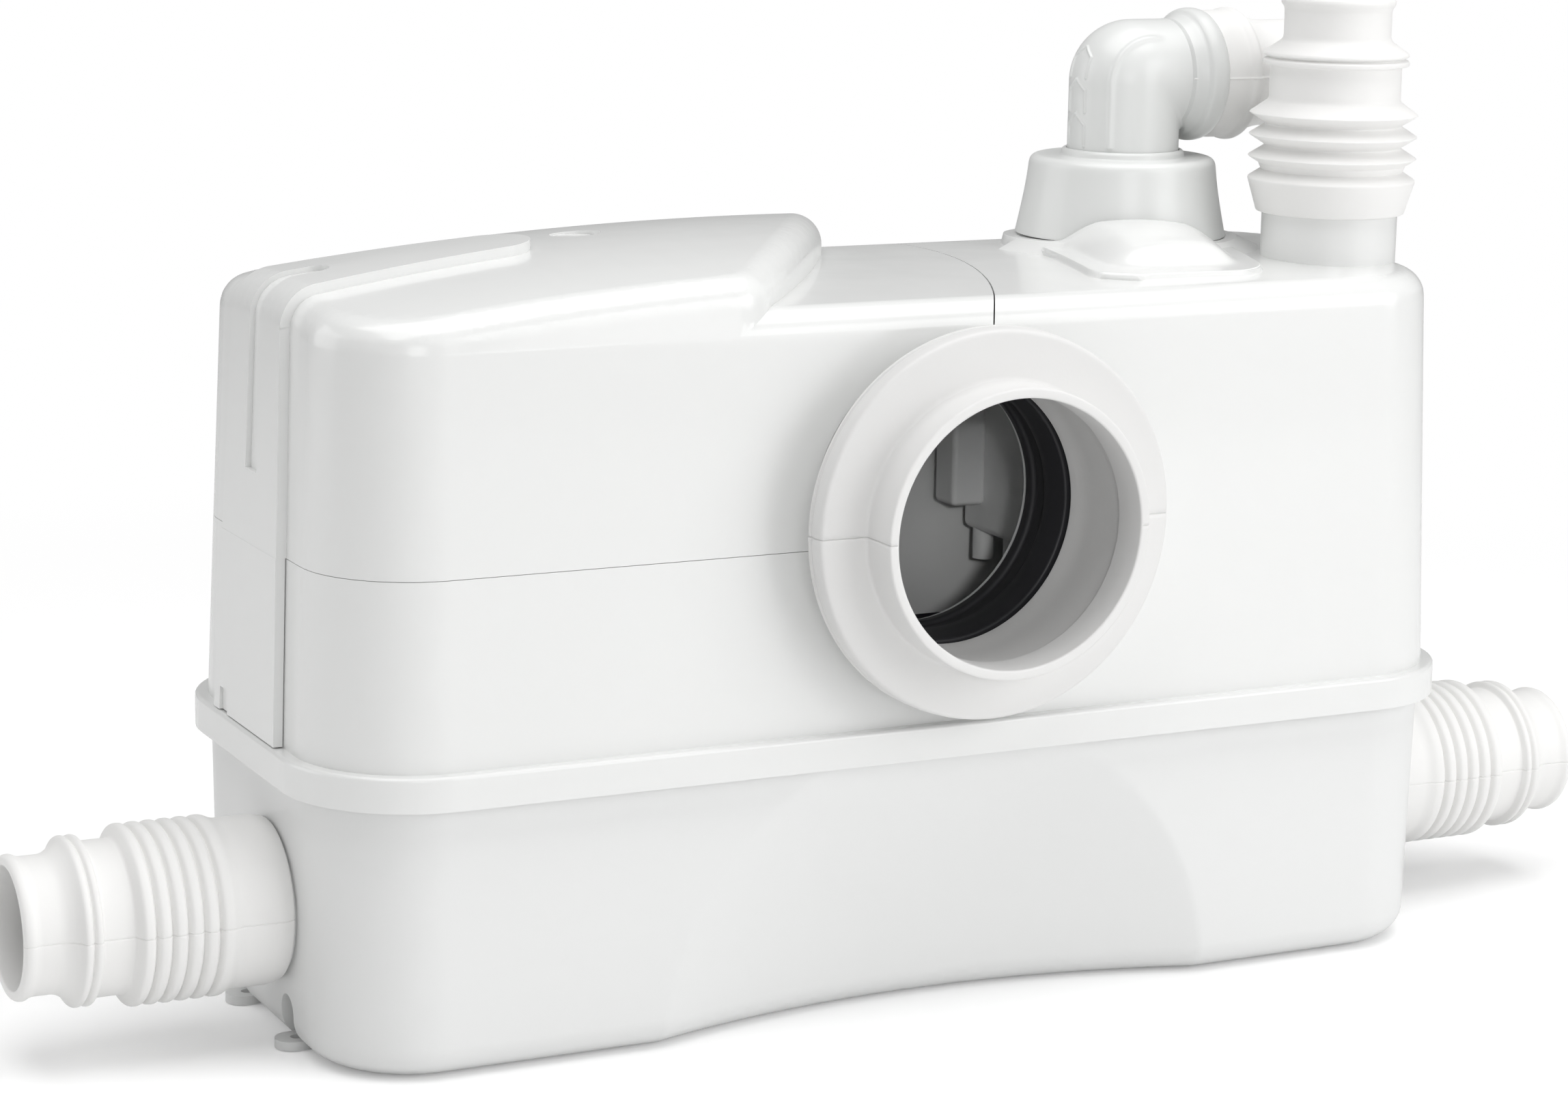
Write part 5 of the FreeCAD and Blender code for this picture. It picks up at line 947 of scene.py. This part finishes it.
class PUMP_OT_shells(bpy.types.Operator):
    """Gloss cover and hood, satin tank"""

    bl_idname = "pump.shells"
    bl_label = "Cover, hood and tank"

    def execute(self, context):
        scene = context.scene
        colours, ramp, outlet = scene.pump_colours, scene.pump_ramp, scene.pump_outlet
        gloss = moulded_plastic("gloss_cover_plastic", colours.cover, roughness=0.23, coat=0.35)
        cover = merged_copy("cover_shell", "main_cover", gloss)
        press_under(cover, ramp, outlet)
        mesh_piece("cover_ramp", ramp_surface(ramp, outlet), gloss, "main_cover")
        hood = merged_copy("hood_shell", "motor_hood", gloss, "hood")
        open_seam(hood, HOOD_RIM, SEAM)
        merged_copy("plug_cap", "access_plug", gloss, "hood")
        satin = moulded_plastic("satin_tank_plastic", colours.tank, roughness=0.34, coat=0.15)
        merged_copy("tank_shell", "tank", satin)
        dress(soft_rubber("gasket_rubber", colours.seal, roughness=0.6), "tank_gasket")
        return {"FINISHED"}


class PUMP_OT_pan(bpy.types.Operator):
    """Rubber collar and black seal of the pan inlet"""

    bl_idname = "pump.pan"
    bl_label = "Pan collar"

    def execute(self, context):
        colours, pan = context.scene.pump_colours, context.scene.pump_pan
        middle, ahead = (pan.x, 0.0, pan.z), (0.0, -1.0, 0.0)
        rubber = soft_rubber("white_collar_rubber", colours.collar, roughness=0.5)
        angles = ring_angles(220, fine=0.006)
        surface = turned_surface(pan_collar_profile(pan), middle, ahead, angles, line_height=-0.0005)
        mesh_piece("collar", surface, rubber, "pan_collar")
        black = soft_rubber("black_seal_rubber", colours.seal, roughness=0.45)
        surface = turned_surface(pan_seal_profile(pan), middle, ahead, ring_angles(180, fine=0.01))
        mesh_piece("pan_seal", surface, black, "pan_seal_ring")
        return {"FINISHED"}


class PUMP_OT_sleeves(bpy.types.Operator):
    """Ribbed sleeves on the side inlets and bellows sleeve on the top inlet"""

    bl_idname = "pump.sleeves"
    bl_label = "Inlet sleeves"

    def execute(self, context):
        sleeve, top = context.scene.pump_sleeve, context.scene.pump_bellows
        rubber = soft_rubber("white_sleeve_rubber", context.scene.pump_colours.rubber, roughness=0.52)
        profile, angles = side_sleeve_profile(sleeve), ring_angles(180, fine=0.016)
        for side, way in ((-1.0, "left"), (1.0, "right")):
            start = (side * sleeve.start, sleeve.y, sleeve.z)
            surface = turned_surface(profile, start, (side, 0.0, 0.0), angles, line_height=-0.0003)
            mesh_piece("sleeve_%s_skin" % way, surface, rubber, "inlet_sleeve_" + way)
        foot, up = (top.x, top.y, 0.0), (0.0, 0.0, 1.0)
        surface = turned_surface(bellows_profile(top), foot, up, ring_angles(192, fine=0.016))
        mesh_piece("sleeve_top_skin", surface, rubber, "inlet_sleeve_top")
        return {"FINISHED"}


class PUMP_OT_discharge(bpy.types.Operator):
    """Boot, elbow with its raised lines and outlet sleeve"""

    bl_idname = "pump.discharge"
    bl_label = "Discharge"

    def execute(self, context):
        colours, outlet = context.scene.pump_colours, context.scene.pump_outlet
        plastic = moulded_plastic("satin_elbow_plastic", colours.elbow, roughness=0.30, coat=0.1)
        rubber = soft_rubber("outlet_sleeve_rubber", colours.rubber, roughness=0.52)
        foot, up = (outlet.x, outlet.y, 0.0), (0.0, 0.0, 1.0)
        surface = turned_surface(boot_profile(outlet), foot, up, ring_angles(200, fine=0.01))
        mesh_piece("boot", surface, plastic, "discharge_boot")
        mesh_piece("elbow", elbow_surface(outlet), plastic, "discharge_elbow", "elbow")
        bend, out = (outlet.x, outlet.y, outlet.axis_z), (1.0, 0.0, 0.0)
        angles = ring_angles(180, fine=0.01)
        surface = turned_surface(outlet_sleeve_profile(outlet), bend, out, angles, line_height=0.0002)
        mesh_piece("hose_sleeve", surface, rubber, "outlet_sleeve", "elbow")
        return {"FINISHED"}


class PUMP_OT_inside(bpy.types.Operator):
    """Grey valve chamber and the black rubber pieces inside"""

    bl_idname = "pump.inside"
    bl_label = "Valve chamber and flaps"

    def execute(self, context):
        colours = context.scene.pump_colours
        dress(moulded_plastic("grey_chamber_plastic", colours.chamber, roughness=0.42),
              "valve_chamber", "elbow_spacer_ring")
        dress(soft_rubber("black_flap_rubber", colours.seal, roughness=0.5), "side_flap_left",
              "side_flap_right", "check_valve_flap", "level_membrane", "motor_gasket")
        return {"FINISHED"}


class PUMP_OT_motor(bpy.types.Operator):
    """Motor, pump and cutter"""

    bl_idname = "pump.motor"
    bl_label = "Motor and pump"

    def execute(self, context):
        dress(metal("drawn_steel", (0.62, 0.63, 0.64), roughness=0.32, scale=60.0, squeeze=30),
              "motor_can", "motor_shaft", "lower_bearing", "upper_bearing", "strainer_ring", "cutter_rotor")
        dress(metal("cast_aluminium", (0.70, 0.71, 0.72), roughness=0.45, scale=320.0),
              "motor_flange", "motor_end_cap", "rotor_end_rings", "run_capacitor")
        dress(metal("zinc_screws", (0.66, 0.67, 0.68), roughness=0.28, scale=320.0),
              "motor_screws", "pump_screws", "chamber_screws")
        dress(layered("steel_sheets", (0.34, 0.35, 0.37), pitch=0.0008, roughness=0.45),
              "stator_core", "rotor_core")
        dress(layered("copper_wire", (0.70, 0.33, 0.16), pitch=0.0009, roughness=0.3), "stator_winding")
        dress(moulded_plastic("black_pump_plastic", (0.055, 0.06, 0.065), roughness=0.45),
              "pump_column", "pump_housing", "impeller", "discharge_pipe", "level_tube")
        dress(moulded_plastic("carbon_seal", (0.03, 0.03, 0.032), roughness=0.35), "shaft_seal")
        return {"FINISHED"}


class PUMP_OT_controls(bpy.types.Operator):
    """Level switch, control board and cable entry"""

    bl_idname = "pump.controls"
    bl_label = "Controls"

    def execute(self, context):
        dress(moulded_plastic("dark_control_plastic", (0.10, 0.105, 0.115), roughness=0.4),
              "level_switch_body", "level_plunger", "microswitch", "cable_gland", "gland_nut")
        dress(moulded_plastic("green_board", (0.025, 0.16, 0.07), roughness=0.4, coat=0.1), "control_board")
        dress(moulded_plastic("grey_vent_plastic", (0.16, 0.165, 0.17), roughness=0.5),
              "terminal_block", "vent_filter")
        return {"FINISHED"}


class PUMP_PT_panel(bpy.types.Panel):
    """Lists the pump's pieces in the sidebar"""

    bl_idname = "PUMP_PT_panel"
    bl_label = "Waste water pump"
    bl_space_type = "VIEW_3D"
    bl_region_type = "UI"
    bl_category = "Pump"

    def draw(self, context):
        for operator in OPERATORS:
            self.layout.operator(operator.bl_idname)


OPERATORS = (PUMP_OT_shells, PUMP_OT_pan, PUMP_OT_sleeves, PUMP_OT_discharge, PUMP_OT_inside, PUMP_OT_motor,
             PUMP_OT_controls, PUMP_OT_stage)
GROUPS = (("pump_colours", PumpColours), ("pump_pan", PumpPan), ("pump_sleeve", PumpSleeve),
          ("pump_bellows", PumpBellows), ("pump_outlet", PumpOutlet), ("pump_ramp", PumpRamp),
          ("pump_stage", PumpStage))
CLASSES = tuple(group for _, group in GROUPS) + OPERATORS + (PUMP_PT_panel,)


def register():
    for one in CLASSES:
        bpy.utils.register_class(one)
    for name, group in GROUPS:
        setattr(bpy.types.Scene, name, PointerProperty(type=group))


def unregister():
    for name, _ in GROUPS:
        delattr(bpy.types.Scene, name)
    for one in reversed(CLASSES):
        bpy.utils.unregister_class(one)


def main():
    register()
    bpy.ops.pump.shells()
    bpy.ops.pump.pan()
    bpy.ops.pump.sleeves()
    bpy.ops.pump.discharge()
    bpy.ops.pump.inside()
    bpy.ops.pump.motor()
    bpy.ops.pump.controls()
    bpy.ops.pump.stage()


if __name__ == "__main__":
    main()
